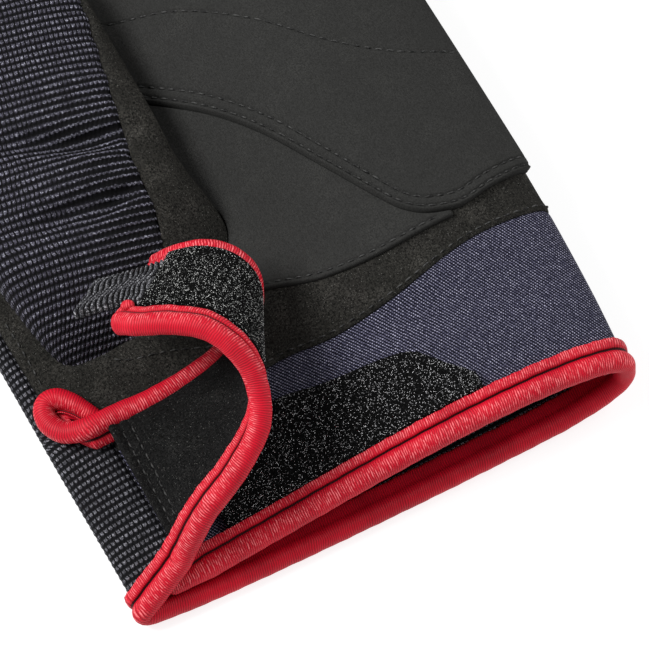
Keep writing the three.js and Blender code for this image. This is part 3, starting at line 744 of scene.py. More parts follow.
# The ribbed back, with the back halves of the fingers
leftSeam = tableOf(
    "at x",
    (-4, -39.5),
    (33, -39.5),
    (36.5, -40.6),
    (40.5, -46.4),
    (46, -46.7),
    (61, -46.7),
    (80, -45.6),
    (100, -44.6),
    (118, -46.6),
)
rightSeamAngle = -0.015
handTop = 117.6
endRound = 3.0


def leftSeamAngle(y):
    return handAngle(readTable(leftSeam, "x", y), y)


# Shares between two angles that are evenly spaced over the cloth at y.
def evenShares(low, high, count, y=hand["evenAt"]):
    fine = np.linspace(low, high, 6001)
    run = gridLength(handPoint(fine, y), 0)
    return np.interp(np.linspace(0, run[-1], count), run, np.linspace(0, 1, 6001))[None]


# Shares from 0 to 1 that bunch up near both ends.
def bunched(count, pull):
    t = row(count)
    return t - pull * np.sin(2 * np.pi * t) / (2 * np.pi)


def endInset(y):
    t = np.clip((y - (handTop - endRound)) / endRound, 0, 1)
    return endRound * (1 - np.sqrt(1 - t * t))


def ribCloth(points, along, stretch=0.0):
    across = gridLength(points, 1)
    return np.stack([across, along, np.broadcast_to(stretch, along.shape)], -1)


def ribbed(points, along, height):
    wave = 0.5 + 0.5 * np.cos(2 * np.pi * along / knit["rowPitch"])
    return points - gridNormals(points) * (height * (1 - wave))[..., None]


def dipped(points, sides, depth, reach=0.5, normals=None):
    dip = depth * bell(borderDistance(points, sides), reach)
    return points - (gridNormals(points) if normals is None else normals) * dip[..., None]


finger = {
    "length": 46.0,
    "height": 16.0,
    "spread": 3.0,
    "gap": 1.0,
    "root": 0.35,
    "rootFullness": 0.7,
    "waist": 0.45,
    "start": -0.16,
    "rows": 129,
    "columns": 49,
    "hem": 5.0,
    "hemRise": 0.35,
    "hemStitch": 4.3,
    "hemRowGap": 1.3,
}
fingerTable = tableOf(
    "place length base tip spread",
    (-1.5, 0.848, 0.72, 0.80, -1.3),
    (-0.5, 1.000, 0.72, 0.95, -0.3),
    (0.5, 0.891, 0.98, 1.02, 0.5),
    (1.5, 0.674, 0.98, 1.00, 1.5),
)
fingerPitch = (hand["width"] - finger["gap"]) / 4
fingerWidth = fingerPitch - finger["gap"]


def fingerPoint(row, angle, share, inset=0.0):
    place, length, base, tip, spread = (fingerTable[c][row] for c in ("place", "length", "base", "tip", "spread"))
    full = lerp(finger["rootFullness"], 1, smooth(share, -finger["root"], 0.02))
    c, s = np.cos(angle), np.sin(angle)
    bulge = np.abs(s) ** hand["roundness"]
    reach = np.maximum(share, 0)
    top = lerp(base, tip, smooth(share, 0.15, 1)) * finger["height"] * full - inset
    side = finger["waist"] * (top + inset)
    centre = place * fingerPitch + spread * finger["spread"] * reach
    x = centre + (fingerWidth / 2 * full - inset) * c
    under = side - (side - inset) * np.minimum(1, hand["underFlatness"] * bulge)
    y = hand["length"] + share * length * finger["length"]
    return np.stack(np.broadcast_arrays(x, y, np.where(s >= 0, side + (top - side) * bulge, under)), -1)


def fingerHalf(which, low, high, knitted):
    length = fingerTable["length"][which] * finger["length"]
    whole = length * (1 - finger["start"])
    share = (finger["start"] + spacing(whole, [whole], 0.15, 0.6, finger["rows"]) / length)[:, None]
    angle = lerp(low, high, bunched(finger["columns"], 0.8))
    points = fingerPoint(which, angle, share)
    toEnd = length * (1 - share)
    hem = finger["hemRise"] * smooth(toEnd, finger["hem"] + 0.25, finger["hem"] - 0.25)
    groove = 0.3 * bell(toEnd - finger["hemStitch"], 0.4)
    flat = smooth(points[..., 2], 0.3, 1.5)
    normals = gridNormals(points)
    along = points[..., 1]
    if knitted:
        points = ribbed(points, along, back["ribHeight"])
    points = points + normals * ((hem - groove) * flat)[..., None]
    points = dipped(points, ("first", "last"), 0.45, 0.6, normals)
    points = dipped(points, ("end",), 0.5, 0.45, normals)
    points[..., 2] = np.maximum(points[..., 2], 0.02)
    made = [shell(points, hand["wall"], 4, ribCloth(points, points[..., 1]))]
    for k in range(0 if knitted else 2):
        inner = np.clip(angle[0], low + 0.06, high - 0.06)
        at = 1 - (finger["hemStitch"] + finger["hemRowGap"] * k) / length
        line = fingerPoint(which, inner, at)
        along = fingerPoint(which, inner, at + 0.01) - fingerPoint(which, inner, at - 0.01)
        up = unit(np.cross(along, np.gradient(line, axis=0)))
        made.append(stitches(line + up * 0.1, up))
    return made


back = {"rows": 361, "columns": 133, "ribHeight": 0.14, "seamDip": 0.4}


def makeBack():
    high = 2 * math.pi + rightSeamAngle
    low = leftSeamAngle(hand["evenAt"])
    share = evenShares(low, high, back["columns"])
    y = lerp(mouthY(lerp(low, high, share)) + clothSetback, handTop, column(back["rows"]))
    points = handPoint(lerp(leftSeamAngle(y), high, share), y, endInset(y))
    normals = gridNormals(points)
    points = ribbed(points, y, back["ribHeight"])
    points = dipped(points, ("first", "last"), back["seamDip"], 0.7, normals)
    parts = [shell(points, hand["wall"], 4, ribCloth(points, y))]
    for which in range(4):
        parts += fingerHalf(which, math.pi, 2 * math.pi, True)
    makePiece("back_knit", parts, [backKnit, darkThread], ["back_panel"])


# The suede palm, with the palm halves of the fingers
cuffLine = tableOf(
    "at y",
    (-52, 29.6),
    (-39, 29.4),
    (-7.7, 29.2),
    (3.7, 27.2),
    (16.2, 27.5),
    (32.9, 30.8),
    (49.1, 31.2),
    (53, 31.2),
)
palm = {"rows": 181, "columns": 173, "seamDip": 0.4, "edgeRise": 0.3, "bandStitch": 0.9, "thumbHoleInset": 1.3}
palmSideRows = (
    ((-33.1, 47.0), (-31.9, 45.0), (-29.1, 43.2), (-24.6, 42.0), (-20.7, 40.6), (-16.6, 38.7), (-13.1, 37.3)),
    ((-45.0, 61.4), (-44.9, 55.0), (-45.0, 49.2), (-45.2, 46.6)),
)

thumb = {
    "length": 80.0,
    "width": 40.0,
    "depth": 11.4,
    "inset": 24.5,
    "gap": 1.1,
    "place": 0.373,
    "wall": 1.3,
    "rows": 301,
    "ribbedColumns": 97,
    "suedeColumns": 121,
    "ribHeight": 0.12,
    "stretchedHeight": 0.12,
    "ribLean": 0.19,
    "ribStretch": 1.08,
    "seamDip": 0.5,
    "sideAngle": 0.03,
    "hem": 5.0,
    "hemRise": 0.35,
    "gather": 0.28,
    "gatherPitch": 6.3,
    "gatherReach": 3.5,
}
thumbSections = tableOf(
    "at half shift low depth",
    (0.000, 0.30, 0.02, 0.20, 0.30),
    (0.035, 0.38, 0.03, 0.20, 0.60),
    (0.080, 0.44, 0.04, 0.20, 0.95),
    (0.150, 0.47, 0.03, 0.25, 1.28),
    (0.250, 0.49, 0.01, 0.42, 1.46),
    (0.350, 0.50, 0.00, 0.72, 1.28),
    (0.450, 0.50, 0.01, 0.97, 1.03),
    (0.700, 0.49, 0.03, 1.00, 1.00),
    (1.000, 0.46, 0.08, 1.00, 0.95),
)
thumbFolds = tableOf(
    foldColumns,
    (0.10, 0.34, 0.32, 0.09, 0.07, 66),
    (0.06, 0.47, 0.34, 0.08, -0.08, 72),
    (0.12, 0.60, 0.30, 0.09, 0.06, 68),
)
thumbPuckers = tableOf(
    foldColumns,
    (0.07, 0.45, 0.28, 0.055, -0.20, 63),
    (0.26, 0.43, 0.16, 0.035, -0.14, 75),
    (-0.07, 0.30, 0.22, 0.050, -0.18, 84),
    (0.15, 0.28, 0.18, 0.035, -0.12, 100),
    (0.17, 0.38, 0.18, 0.035, 0.08, 70),
    (-0.26, 0.40, 0.20, 0.040, -0.050, 70),
    (0.02, 0.62, 0.22, 0.035, -0.050, 60),
)
thenar = {"reach": 2.4, "at": 0.17, "spread": 0.12, "roundness": 0.35}
thumbRest = max(finger["height"] * 0.72, handSections["leftTop"][-1] * hand["height"]) + thumb["gap"]
thumbStart = thumb["place"] * hand["length"]
thumbCentre = thumb["inset"] - hand["width"] / 2
thumbSeam = tableOf("at x", (39, -27.7), (54.5, -17.0), (73.2, -12.7), (107.3, -4.7), (130, 0.0))


def thumbPoint(angle, share, inset=0.0):
    angle, share = np.broadcast_arrays(angle, share)
    form = {c: readTable(thumbSections, c, share) for c in thumbSections}
    c, s = np.cos(angle), np.sin(angle)
    bulge = np.abs(s) ** (hand["roundness"] + thenar["roundness"] * smooth(c, 0.1, 0.9))
    along = share * thumb["length"]
    swell = thenar["reach"] * bell(share - thenar["at"], thenar["spread"]) * smooth(c, 0, 1)
    across = (form["half"] * thumb["width"] - inset) * c + swell
    low = form["low"] * thumbRest + inset
    high = low + form["depth"] * thumb["depth"] - 2 * inset
    middle = (low + high) / 2
    size = thumb["width"], thumb["length"], thumb["depth"]
    fold = sum(foldHeight(folds, across, along, *size) for folds in (thumbFolds, thumbPuckers))
    z = np.where(s >= 0, middle + (high - middle + fold) * bulge, middle - (middle - low) * bulge)
    return np.stack([thumbCentre + form["shift"] * thumb["width"] + across, thumbStart + along, z], -1)


def thumbSeamAngle(share):
    x = readTable(thumbSeam, "x", thumbStart + share * thumb["length"])
    return sectionAngle(thumbSections, x, share, thumb["width"], thumbCentre, -0.99, 0.985)


def solidThumb(inset):
    turn = np.linspace(0, 2 * np.pi, 96, endpoint=False)[None]
    return tube(thumbPoint(turn, column(81), inset))


def solidHand(inset):
    y = np.linspace(4.0, handTop, 90)[:, None]
    t = np.linspace(0, 1, 192, endpoint=False)
    angle = 2 * np.pi * t - 0.42 * np.sin(4 * np.pi * t)
    return tube(handPoint(angle[None], y, inset))


# The line y on the cuff's edge at each angle
def cuffEdge(angleAt, shape):
    y = np.full(shape, 30.0)
    for _ in range(4):
        x = handPoint(angleAt(y), y)[..., 0]
        y = readTable(cuffLine, "y", x)
    return x, y


def makePalm():
    share = evenShares(rightSeamAngle, leftSeamAngle(hand["evenAt"]), palm["columns"])
    x, first = cuffEdge(lambda y: lerp(rightSeamAngle, leftSeamAngle(y), share), share.shape)
    y = lerp(first, handTop, column(palm["rows"]) ** 1.15)
    points = handPoint(lerp(rightSeamAngle, leftSeamAngle(y), share), y, endInset(y))
    points = dipped(points, ("start",), -palm["edgeRise"], 1.6)
    points = dipped(points, ("start", "first", "last"), palm["seamDip"], 0.45)
    band = np.stack([x[0, 3:-2], first[0, 3:-2] + palm["bandStitch"]], -1)[::-1]
    parts = [trimmed(shell(points, hand["wall"], 4), solidThumb(palm["thumbHoleInset"])), palmRow(band, 0.25)]
    parts += [palmRow(smoothLine(line), 0.05) for line in palmSideRows]
    for which in range(4):
        parts += fingerHalf(which, 0.0, math.pi, False)
    makePiece("palm_suede", parts, [baseSuede, darkThread], ["palm_panel"])


# The thumb's two halves, sewn onto the palm
def thumbShell(angle, knitted):
    share = column(thumb["rows"])
    points = thumbPoint(angle, share)
    normals = gridNormals(points)
    middle = points.shape[1] // 2
    crest = points[:, middle, 1]
    run = gridLength(points, 0)[:, middle] / thumb["ribStretch"]
    along = np.interp(points[..., 1], crest, crest[0] + run) + thumb["ribLean"] * (points[..., 0] - thumbCentre)
    stretch = 0.0
    if knitted:
        gather = thumb["gather"] * np.cos(2 * np.pi * points[..., 1] / thumb["gatherPitch"])
        gather = gather * np.exp(-borderDistance(points, ("first",)) / thumb["gatherReach"])
        points = points + normals * gather[..., None]
        stretch = smooth(points[..., 0], thumbCentre - 9, thumbCentre + 6) * smooth(-points[..., 1], -98, -78)
        points = ribbed(points, along, thumb["ribHeight"] + thumb["stretchedHeight"] * stretch)
    toEnd = thumb["length"] * (1 - share)
    hem = thumb["hemRise"] * smooth(toEnd, thumb["hem"] + 0.3, thumb["hem"] - 0.3)
    points = points + normals * hem[..., None]
    points = dipped(points, ("first", "last"), thumb["seamDip"], 0.7, normals)
    points = dipped(points, ("end",), 0.5, 0.5, normals)
    part = shell(points, thumb["wall"], 4, ribCloth(points, along, stretch))
    return trimmed(part, solidHand(0.4))


def makeThumb():
    seam, side = thumbSeamAngle(column(thumb["rows"])), thumb["sideAngle"]
    ribs = thumbShell(lerp(seam, math.pi + side, bunched(thumb["ribbedColumns"], 0.5)), True)
    suede = thumbShell(lerp(-math.pi + side, seam, bunched(thumb["suedeColumns"], 0.5)), False)
    makePiece("thumb_knit", [ribs], [thumbKnit], ["thumb_back"])
    makePiece("thumb_suede", [suede], [baseSuede], ["thumb_palm"])


# The navy cuff band
cuff = {"rows": 73, "columns": 221, "seamDip": 0.5, "tuck": 0.4, "left": -39.5, "evenAt": 14.0}


def makeCuff():
    low, high = rightSeamAngle, float(handAngle(cuff["left"], cuff["evenAt"]))
    angle = lerp(low, high, evenShares(low, high, cuff["columns"], cuff["evenAt"]))
    end = cuffEdge(lambda y: angle, angle.shape)[1]
    y = lerp(mouthY(angle) + clothSetback, end + cuff["tuck"], column(cuff["rows"]))
    points = dipped(handPoint(angle, y), ("end", "first", "last"), cuff["seamDip"], 0.6)
    makePiece("cuff_knit", [shell(points, hand["wall"], 4)], [navyKnit], ["cuff_band"])


# Overlays
overlaySeam = tableOf(
    "at y",
    (-0.20, 0.825),
    (-0.12, 0.78),
    (-0.06, 0.742),
    (0.03, 0.66),
    (0.10, 0.568),
    (0.164, 0.458),
    (0.226, 0.361),
    (0.258, 0.333),
    (0.293, 0.319),
    (0.343, 0.312),
    (0.408, 0.323),
    (0.51, 0.335),
)
overlayHem = tableOf(
    "at y",
    (-0.12, 0.375),
    (-0.03, 0.358),
    (0.066, 0.315),
    (0.16, 0.299),
    (0.30, 0.303),
)
upperOverlay = {
    "left": -19.8,
    "right": 48.7,
    "top": 113.9,
    "wall": 1.7,
    "edge": 0.55,
    "rows": 221,
    "columns": 173,
    "rowsAt": (0.9, 2.6),
    "grooveDepth": 0.34,
    "grooveWidth": 0.3,
    "topRow": ((-6.0, 104.2), (-2.9, 102.7), (7.7, 97.3), (18.7, 86.5), (28.3, 75.9), (37.9, 69.0), (48.3, 65.2)),
}
lowerOverlay = {
    "left": -11.9,
    "right": 31.6,
    "wall": 1.1,
    "edge": 0.5,
    "rows": 133,
    "columns": 121,
    "rowAt": 1.0,
    "grooveDepth": 0.22,
    "grooveWidth": 0.3,
}


def seamY(x):
    return readTable(overlaySeam, "y", x / hand["width"]) * hand["length"]


def hemY(x):
    return readTable(overlayHem, "y", x / hand["width"]) * hand["length"]


def smoothLine(points, count=120):
    points = np.array(points, float)
    run = gridLength(points, 0)
    table = {"at": run, "x": points[:, 0], "y": points[:, 1]}
    at = np.linspace(0, run[-1], count)
    return np.stack([readTable(table, "x", at), readTable(table, "y", at)], -1)


# A patch on the palm between two lines, its rim rounded down and its stitch rows pressed in.
def patch(style, lowLine, highLine, grooves, marks):
    halfway = hand["length"] / 2
    low, high = (float(handAngle(style[side], halfway)) for side in ("right", "left"))
    x = handPoint(lerp(low, high, evenShares(low, high, style["columns"])), halfway)[..., 0]
    span = highLine(x) - lowLine(x)
    mean = span.mean()
    y = lowLine(x) + span * spacing(1.0, marks, 0.16 / mean, 0.62 / mean, style["rows"], 1.6 / mean)[:, None]
    x = x + 0 * y
    base = palmTop(x, y)
    edge = np.clip(borderDistance(base, ("start", "end", "first", "last")) / style["edge"], 0, 1)
    lift = style["wall"] * (0.25 + 0.75 * np.sqrt(1 - (1 - edge) ** 2))
    for line in grooves:
        lift = lift - style["grooveDepth"] * bell(planDistance(x, y, line[::3]), style["grooveWidth"])
    return shell(palmTop(x, y, lift), 0, 4, inner=palmTop(x, y, 0.02)[::4, ::4])


def makeOverlay(name, style, lines, rows, marks):
    body = trimmed(patch(style, *lines, rows, marks), solidThumb(-0.3))
    lift = style["wall"] - style["grooveDepth"] * 0.6
    parts = [body] + [palmRow(line, lift) for line in rows]
    makePiece("overlay_" + name, parts, [overlaySuede, darkThread], ["palm_overlay_" + name])


def makeOverlays():
    style = upperOverlay
    x = np.linspace(style["left"] + 0.6, style["right"] - 0.4, 160)
    seam = np.stack([x, seamY(x)], -1)
    rows = [offsetLine(seam, at) for at in style["rowsAt"]] + [smoothLine(style["topRow"])]
    lines = seamY, lambda x: np.full(x.shape, style["top"])
    makeOverlay("upper", style, lines, rows, [0.0, 0.012, 0.035])
    x = np.linspace(lowerOverlay["left"] + 0.6, lowerOverlay["right"] - 2.5, 120)
    rows = [offsetLine(np.stack([x, hemY(x)], -1), lowerOverlay["rowAt"])]
    makeOverlay("lower", lowerOverlay, (hemY, lambda x: seamY(x) - 0.1), rows, [0.0, 0.03])


# Touch-fastener loops and hooks: small arcs of yarn standing on a face
def arcs(place, up, turn, size, radius, finish):
    t = np.linspace(0, np.pi, 3)[:, None]
    flat = unit(np.cross(up, np.stack([np.cos(turn), np.sin(turn), 0 * turn], -1)))
    out = flat[:, None] * np.cos(t) + up[:, None] * np.sin(t)
    size = np.broadcast_to(size, len(place))[:, None, None]
    tall = flat[:, None] * np.cos(t) + 1.25 * up[:, None] * np.sin(t) - 0.25 * up[:, None]
    centre = place[:, None] + size * tall
    third = np.cross(flat, up)[:, None, None]
    a = (np.arange(3) * 2 * np.pi / 3)[:, None]
    rings = centre[:, :, None] + radius * (out[:, :, None] * np.cos(a) + third * np.sin(a))
    return copies(rings, finish)


# Pile at the given places, leaning at random from the way up.
def pile(style, random, place, up):
    count = style["count"]
    up = unit(up + random.normal(0, style["lean"], (count, 3)))
    # A share of the arcs take the highlight finish, a painted highlight.
    kinds = 1 + (random.random(count) < style["paintedLightShare"])
    size = style["size"]
    if "sizeRange" in style:
        size = size * random.uniform(*style["sizeRange"], count)
    return arcs(place, up, random.random(count) * 2 * np.pi, size, style["yarn"], kinds)


loopPatch = {
    "left": -29.7,
    "right": 20.3,
    "wall": 1.4,
    "edge": 0.5,
    "rows": 65,
    "columns": 141,
    "cuffHeight": 29.0,
    "count": 6400,
    "paintedLightShare": 0.27,
    "size": 0.12,
    "sizeRange": (0.6, 1.3),
    "lean": 0.3,
    "yarn": 0.045,
    "seed": 11,
    "grooveDepth": 0,
    "grooveWidth": 1,
}
loopEdge = tableOf(
    "at y",
    (-0.30, 0.84),
    (-0.11, 0.79),
    (-0.03, 0.71),
    (0.09, 0.63),
    (0.13, 0.57),
    (0.16, 0.44),
    (0.205, 0.27),
)


def loopLow(x):
    return mouthY(handAngle(x, 0.0)) + binding["roll"] + binding["flangeReach"] - 0.4


def loopHigh(x):
    return readTable(loopEdge, "y", x / hand["width"]) * loopPatch["cuffHeight"]


def makeLoopPatch():
    style = loopPatch
    body = patch(style, loopLow, loopHigh, [], [0.0, 1.0])
    random = np.random.default_rng(style["seed"])
    x = lerp(style["left"] + 0.5, style["right"] - 0.5, random.random(style["count"]))
    y = lerp(loopLow(x) + 0.2, loopHigh(x) - 0.3, random.random(style["count"]))
    parts = [body, pile(style, random, palmTop(x, y, style["wall"] - 0.05), palmNormal(x, y))]
    makePiece("loop_patch_pile", parts, [loopGround, loopDark, loopHighlight], ["loop_patch"])


# Strap
strap = {
    "wall": 1.6,
    "width": 28.0,
    "run": 35.5,
    "drift": 27.3,
    "rise": 21.1,
    "setIn": 7.4,
    "setback": 3.9,
    "end": 10 / 11,
    "start": 0.06,
    "rows": 241,
    "columns": 73,
    "rimAt": 0.9,
    "rimRise": 0.4,
    "stitchAt": (2.1, 4.0),
    "grooveDepth": 0.3,
    "grooveWidth": 0.4,
}
strapStations = tableOf(
    "run drift rise turn dip width",
    (0.15, -0.02, 0.02, 91, 3, 1.10),
    (0.25, 0.00, 0.11, 87, -3, 1.05),
    (0.41, 0.02, 0.29, 84, -16, 1.00),
    (0.63, 0.07, 0.42, 84, -27, 0.98),
    (0.84, 0.16, 0.56, 78, -34, 0.94),
    (0.97, 0.31, 0.74, 65, -36, 0.90),
    (1.00, 0.49, 0.90, 55, -34, 0.88),
    (0.94, 0.67, 1.00, 49, -32, 0.85),
    (0.82, 0.81, 1.00, 45, -29, 0.82),
    (0.69, 0.91, 0.92, 42, -29, 0.79),
    (0.58, 1.00, 0.79, 40, -33, 0.75),
    (0.37, 1.10, 0.68, 40, -33, 0.75),
)
strapBaseX = strap["setIn"] - strap["run"] * 0.15 - hand["width"] / 2
strapBaseY = strap["setback"] + 1.10 * strap["width"] / 2
strapBaseZ = palmTop(strapBaseX + strap["run"] * 0.25, 2 * strapBaseY)[2] + binding["roll"]


def strapMiddle(share):
    run, drift, rise = (readTable(strapStations, name, np.clip(share, 0, 1)) for name in ("run", "drift", "rise"))
    x = strapBaseX + strap["run"] * run
    return np.stack([x, strapBaseY + strap["drift"] * drift, strapBaseZ + strap["rise"] * rise], -1)


def strapFrame(share):
    share = np.asarray(share, float)
    turn = np.radians(readTable(strapStations, "turn", share))
    dip = np.radians(readTable(strapStations, "dip", share))
    across = np.stack([np.cos(dip) * np.cos(turn), np.cos(dip) * np.sin(turn), np.sin(dip)], -1)
    run = unit(strapMiddle(share + 0.01) - strapMiddle(share - 0.01))
    face = unit(np.cross(run, across))
    return strapMiddle(share), across, face, readTable(strapStations, "width", share) * strap["width"] / 2


# A place on the strap, t from edge to edge between margins from them, lifted off its middle.
def strapPoint(share, t, margins, lift):
    share, t, lift = np.broadcast_arrays(share, t, lift)
    middle, across, face, half = strapFrame(share)
    side = lerp(-half + margins[0], half - margins[1], t)
    return middle + across * side[..., None] + face * lift[..., None]


def makeStrap():
    share = lerp(strap["start"], strap["end"], column(strap["rows"]))
    t = row(strap["columns"])
    margins = (clothSetback - 0.6, clothSetback - 0.6)
    base = strapPoint(share, t, margins, 0)
    run = gridLength(base, 0)
    lift = strap["wall"] / 2 - 0.35 * bell(run, 0.4) + strap["rimRise"] * bell(run - strap["rimAt"], 0.7)
    for at in strap["stitchAt"]:
        lift = lift - strap["grooveDepth"] * bell(run - at, strap["grooveWidth"])
    under = strapPoint(share, t, margins, -strap["wall"] / 2)[::4, ::4]
    parts = [shell(strapPoint(share, t, margins, lift), 0, 4, inner=under)]
    face = strapFrame(np.broadcast_to(share, run.shape))[2]
    pick = np.arange(4, strap["columns"] - 4)
    for at in strap["stitchAt"]:
        near = np.abs(run - at).argmin(0)[pick]
        line = (base + face * (strap["wall"] / 2 - 0.25))[near, pick]
        parts.append(stitches(line, face[near, pick]))
    makePiece("strap_suede", parts, [strapSuede, darkThread], ["strap"])


hooks = {
    "from": 0.36,
    "to": 0.83,
    "margins": (3.4, 1.0),
    "gap": 0.05,
    "wall": 1.1,
    "rows": 81,
    "columns": 49,
    "count": 4600,
    "paintedLightShare": 0.3,
    "size": 0.12,
    "lean": 0.2,
    "yarn": 0.05,
    "seed": 23,
}
tab = {
    "from": 0.82,
    "to": 1.0,
    "margins": (4.4, 4.4),
    "wall": 1.4,
    "gap": 0.1,
    "rows": 161,
    "columns": 57,
    "relief": 0.24,
}


# Place along the strap, with the webbing's slightly wavy ribs.
def ribPlace(flat):
    return gridLength(flat, 0) + webbing["sway"] * np.sin(0.8 * gridLength(flat, 1) + 0.3 * gridLength(flat, 0))


# A slab on the strap's hook side, between two lifts below its face.
def underSlab(style, relief=0.0):
    share, t = lerp(style["from"], style["to"], column(style["rows"])), row(style["columns"])
    near = -strap["wall"] / 2 - style["gap"]
    flat = strapPoint(share, t, style["margins"], near)
    edge = np.clip(borderDistance(flat, ("start", "end", "first", "last")) / 0.6, 0, 1)
    depth = style["wall"] * (0.35 + 0.65 * np.sqrt(1 - (1 - edge) ** 2))
    depth = depth + relief * np.cos(2 * np.pi * ribPlace(flat) / webbing["ribPitch"])
    cloth = np.stack([ribPlace(flat), gridLength(flat, 1), 0 * depth], -1)
    outer = strapPoint(share, t, style["margins"], near - depth)
    return turnedOut(shell(outer, 0, 4, cloth, inner=flat[::4, ::4]))


def makeHooks():
    random = np.random.default_rng(hooks["seed"])
    share = lerp(hooks["from"] + 0.005, hooks["to"] - 0.005, random.random(hooks["count"]))
    lift = -strap["wall"] / 2 - hooks["gap"] - hooks["wall"] + 0.05
    place = strapPoint(share, random.uniform(0.02, 0.98, hooks["count"]), hooks["margins"], lift)
    parts = [underSlab(hooks), pile(hooks, random, place, -strapFrame(share)[2])]
    makePiece("hook_pad_pile", parts, [hookGround, hookDark, hookHighlight], ["hook_pad"])


def makeTab():
    body = underSlab(tab, tab["relief"])
    makePiece("pull_tab_webbing", [body], [webbingGrey], ["pull_tab"])


# Red bindings
# The tape's outlines across its length: out of the edge, out of the face, painted light share (painted highlight
# where high, painted shade where negative). Outside, a groove parts the roll from a flange; inside, it does so
# where grooved is 1, and where it is 0 the tape runs on smoothly.
def bindingProfile(innerReach, grooved):
    roll, reach = binding["roll"], binding["roll"] + binding["flangeReach"]
    outer = hand["wall"] / 2 + hand["seamGap"] + binding["flangeWall"]
    # Third values: painted highlight on the flange's top, painted shade down into the groove.
    rows = [(-reach, 0.72, 0.2), (-reach - 0.02, outer - 0.45, 0.4), (-reach + 0.14, outer - 0.12, 0.9)]
    rows += [(-reach + 0.5, outer, 1.0), (-reach + 1.0, outer + 0.03, 0.9), (-reach + 1.5, outer - 0.04, 0.7)]
    rows += [(-reach + 1.84, outer - 0.14, 0.3), (-reach + 2.02, outer - 0.45, -0.7), (-reach + 2.1, outer - 0.85, -1.0)]
    turn = np.radians(np.linspace(151, -138, 27))
    # Painted highlight round the roll, strongest on its upper outer side; its first point, by the groove, is
    # painted shade.
    shine = np.clip(0.2 + 0.9 * np.cos(turn - 1.35) ** 3 * (np.cos(turn - 1.35) > 0), 0.1, 1)
    shine[0] = -0.6
    rows = np.array(rows + list(zip(roll * np.cos(turn), roll * np.sin(turn), shine)))
    g = grooved[:, None]
    low = hand["wall"] / 2 + binding["innerWall"]
    rows = np.repeat(rows[None], len(grooved), 0)
    # Where grooved, the roll's underside gets more painted highlight.
    under = np.clip(np.cos(turn + 1.7), 0, 1) ** 2
    rows[:, 9:, 2] += 0.7 * g * under
    span = (innerReach - 2.2)[:, None] * np.array([[0, 0.04, 0.2, 0.5, 0.85, 1.0, 1.0]])
    smoothDrop = low + np.array([[0.12, 0.1, 0.05, 0, 0, -0.1, 0.66 - low]])
    groovedDrop = np.array([[0.95, 1.3, outer - 0.05, outer, outer - 0.05, outer - 0.4, 0.66]])
    # The inner tail's painted light share: an even level where smooth; where grooved, painted shade in the groove
    # and painted highlight on the flange.
    light = np.array([[0.3, 0.3, 0.3, 0.3, 0.3, 0.3, 0.2]])
    groovedPaintedLight = np.array([[-1.0, -0.5, 0.8, 1.0, 0.9, 0.5, 0.2]])
    x = -1.9 - span - 0.12 * np.array([[0, 0, 0, 0, 0, 1, 0.6]])
    tail = np.stack([x, -lerp(smoothDrop, groovedDrop, g), lerp(light, groovedPaintedLight, g)], -1)
    return np.concatenate([rows, tail], 1)


# Tape swept along stations; size and inner reach follow tables of the stations' own count.
def sweep(place, out, face, size, innerReach, grooved):
    table = {"at": gridLength(place, 0), "size": size, "reach": innerReach}
    for name, value in (("p", place), ("o", out), ("f", face)):
        for i in range(3):
            table[name + str(i)] = value[:, i]
    at = np.linspace(0, table["at"][-1], int(table["at"][-1] / binding["ringPitch"]) + 1)
    place, out, face = (np.stack([readTable(table, n + str(i), at) for i in range(3)], -1) for n in "pof")
    along = unit(np.gradient(place, axis=0))
    out = unit(out - along * np.einsum("ij,ij->i", out, along)[:, None])
    face = unit(face - along * np.einsum("ij,ij->i", face, along)[:, None])
    face = unit(face - out * np.einsum("ij,ij->i", face, out)[:, None])
    profile = bindingProfile(np.interp(at, table["at"], innerReach), np.interp(at, table["at"], grooved))
    x, y = profile[..., 0], profile[..., 1]
    edge = bell(x + binding["roll"] + binding["flangeReach"] - 0.15, 0.35) * (y > 0.5)
    bumps = 0.07 * np.sin(2 * np.pi * at / 0.74) + 0.04 * np.sin(2 * np.pi * at / 1.9 + 1)
    x = x + bumps[:, None] * edge
    fromEnd = np.minimum(at, at[-1] - at)
    rounded = np.sqrt(np.clip(1 - (1 - np.clip(fromEnd / 1.4, 0, 1)) ** 2, 0.02, 1))
    uneven = 1 + 0.012 * np.sin(2 * np.pi * at / 7.3) + 0.01 * np.sin(2 * np.pi * at / 3.1 + 2)
    swell = (np.interp(at, table["at"], size) * rounded * uneven)[:, None]
    rings = place[:, None] + out[:, None] * (x * swell)[..., None] + face[:, None] * (y * swell)[..., None]
    rings[..., 2] = np.maximum(rings[..., 2], 0.0)
    around = gridLength(profile[:1, :, :2], 1)[0]
    # The cloth's third value is the profile's painted light share.
    cloth = np.stack(np.broadcast_arrays(at[:, None], around[None], profile[..., 2]), -1)
    return tube(rings, cloth)


def mouthStations():
    half = hand["wall"] / 2
    fine = np.linspace(binding["wristStart"], binding["wristTo"], 8001) * 2 * np.pi
    run = gridLength(handPoint(fine, 0.4, half), 0)
    angle = np.interp(np.linspace(0, run[-1], 170), run, fine)
    place = handPoint(angle, mouthY(angle), half)
    near = handPoint(angle, mouthY(angle) + clothSetback, half)
    out = unit(near - handPoint(angle, mouthY(angle) + clothSetback + binding["flangeReach"], half))
    face = unit(np.cross(-np.gradient(place, axis=0), out))
    return place, out, face


def strapEdge(side):
    middle, across, face, half = strapFrame(np.linspace(0.045, strap["end"], 60))
    return middle + across * (side * half)[:, None], across * side, face


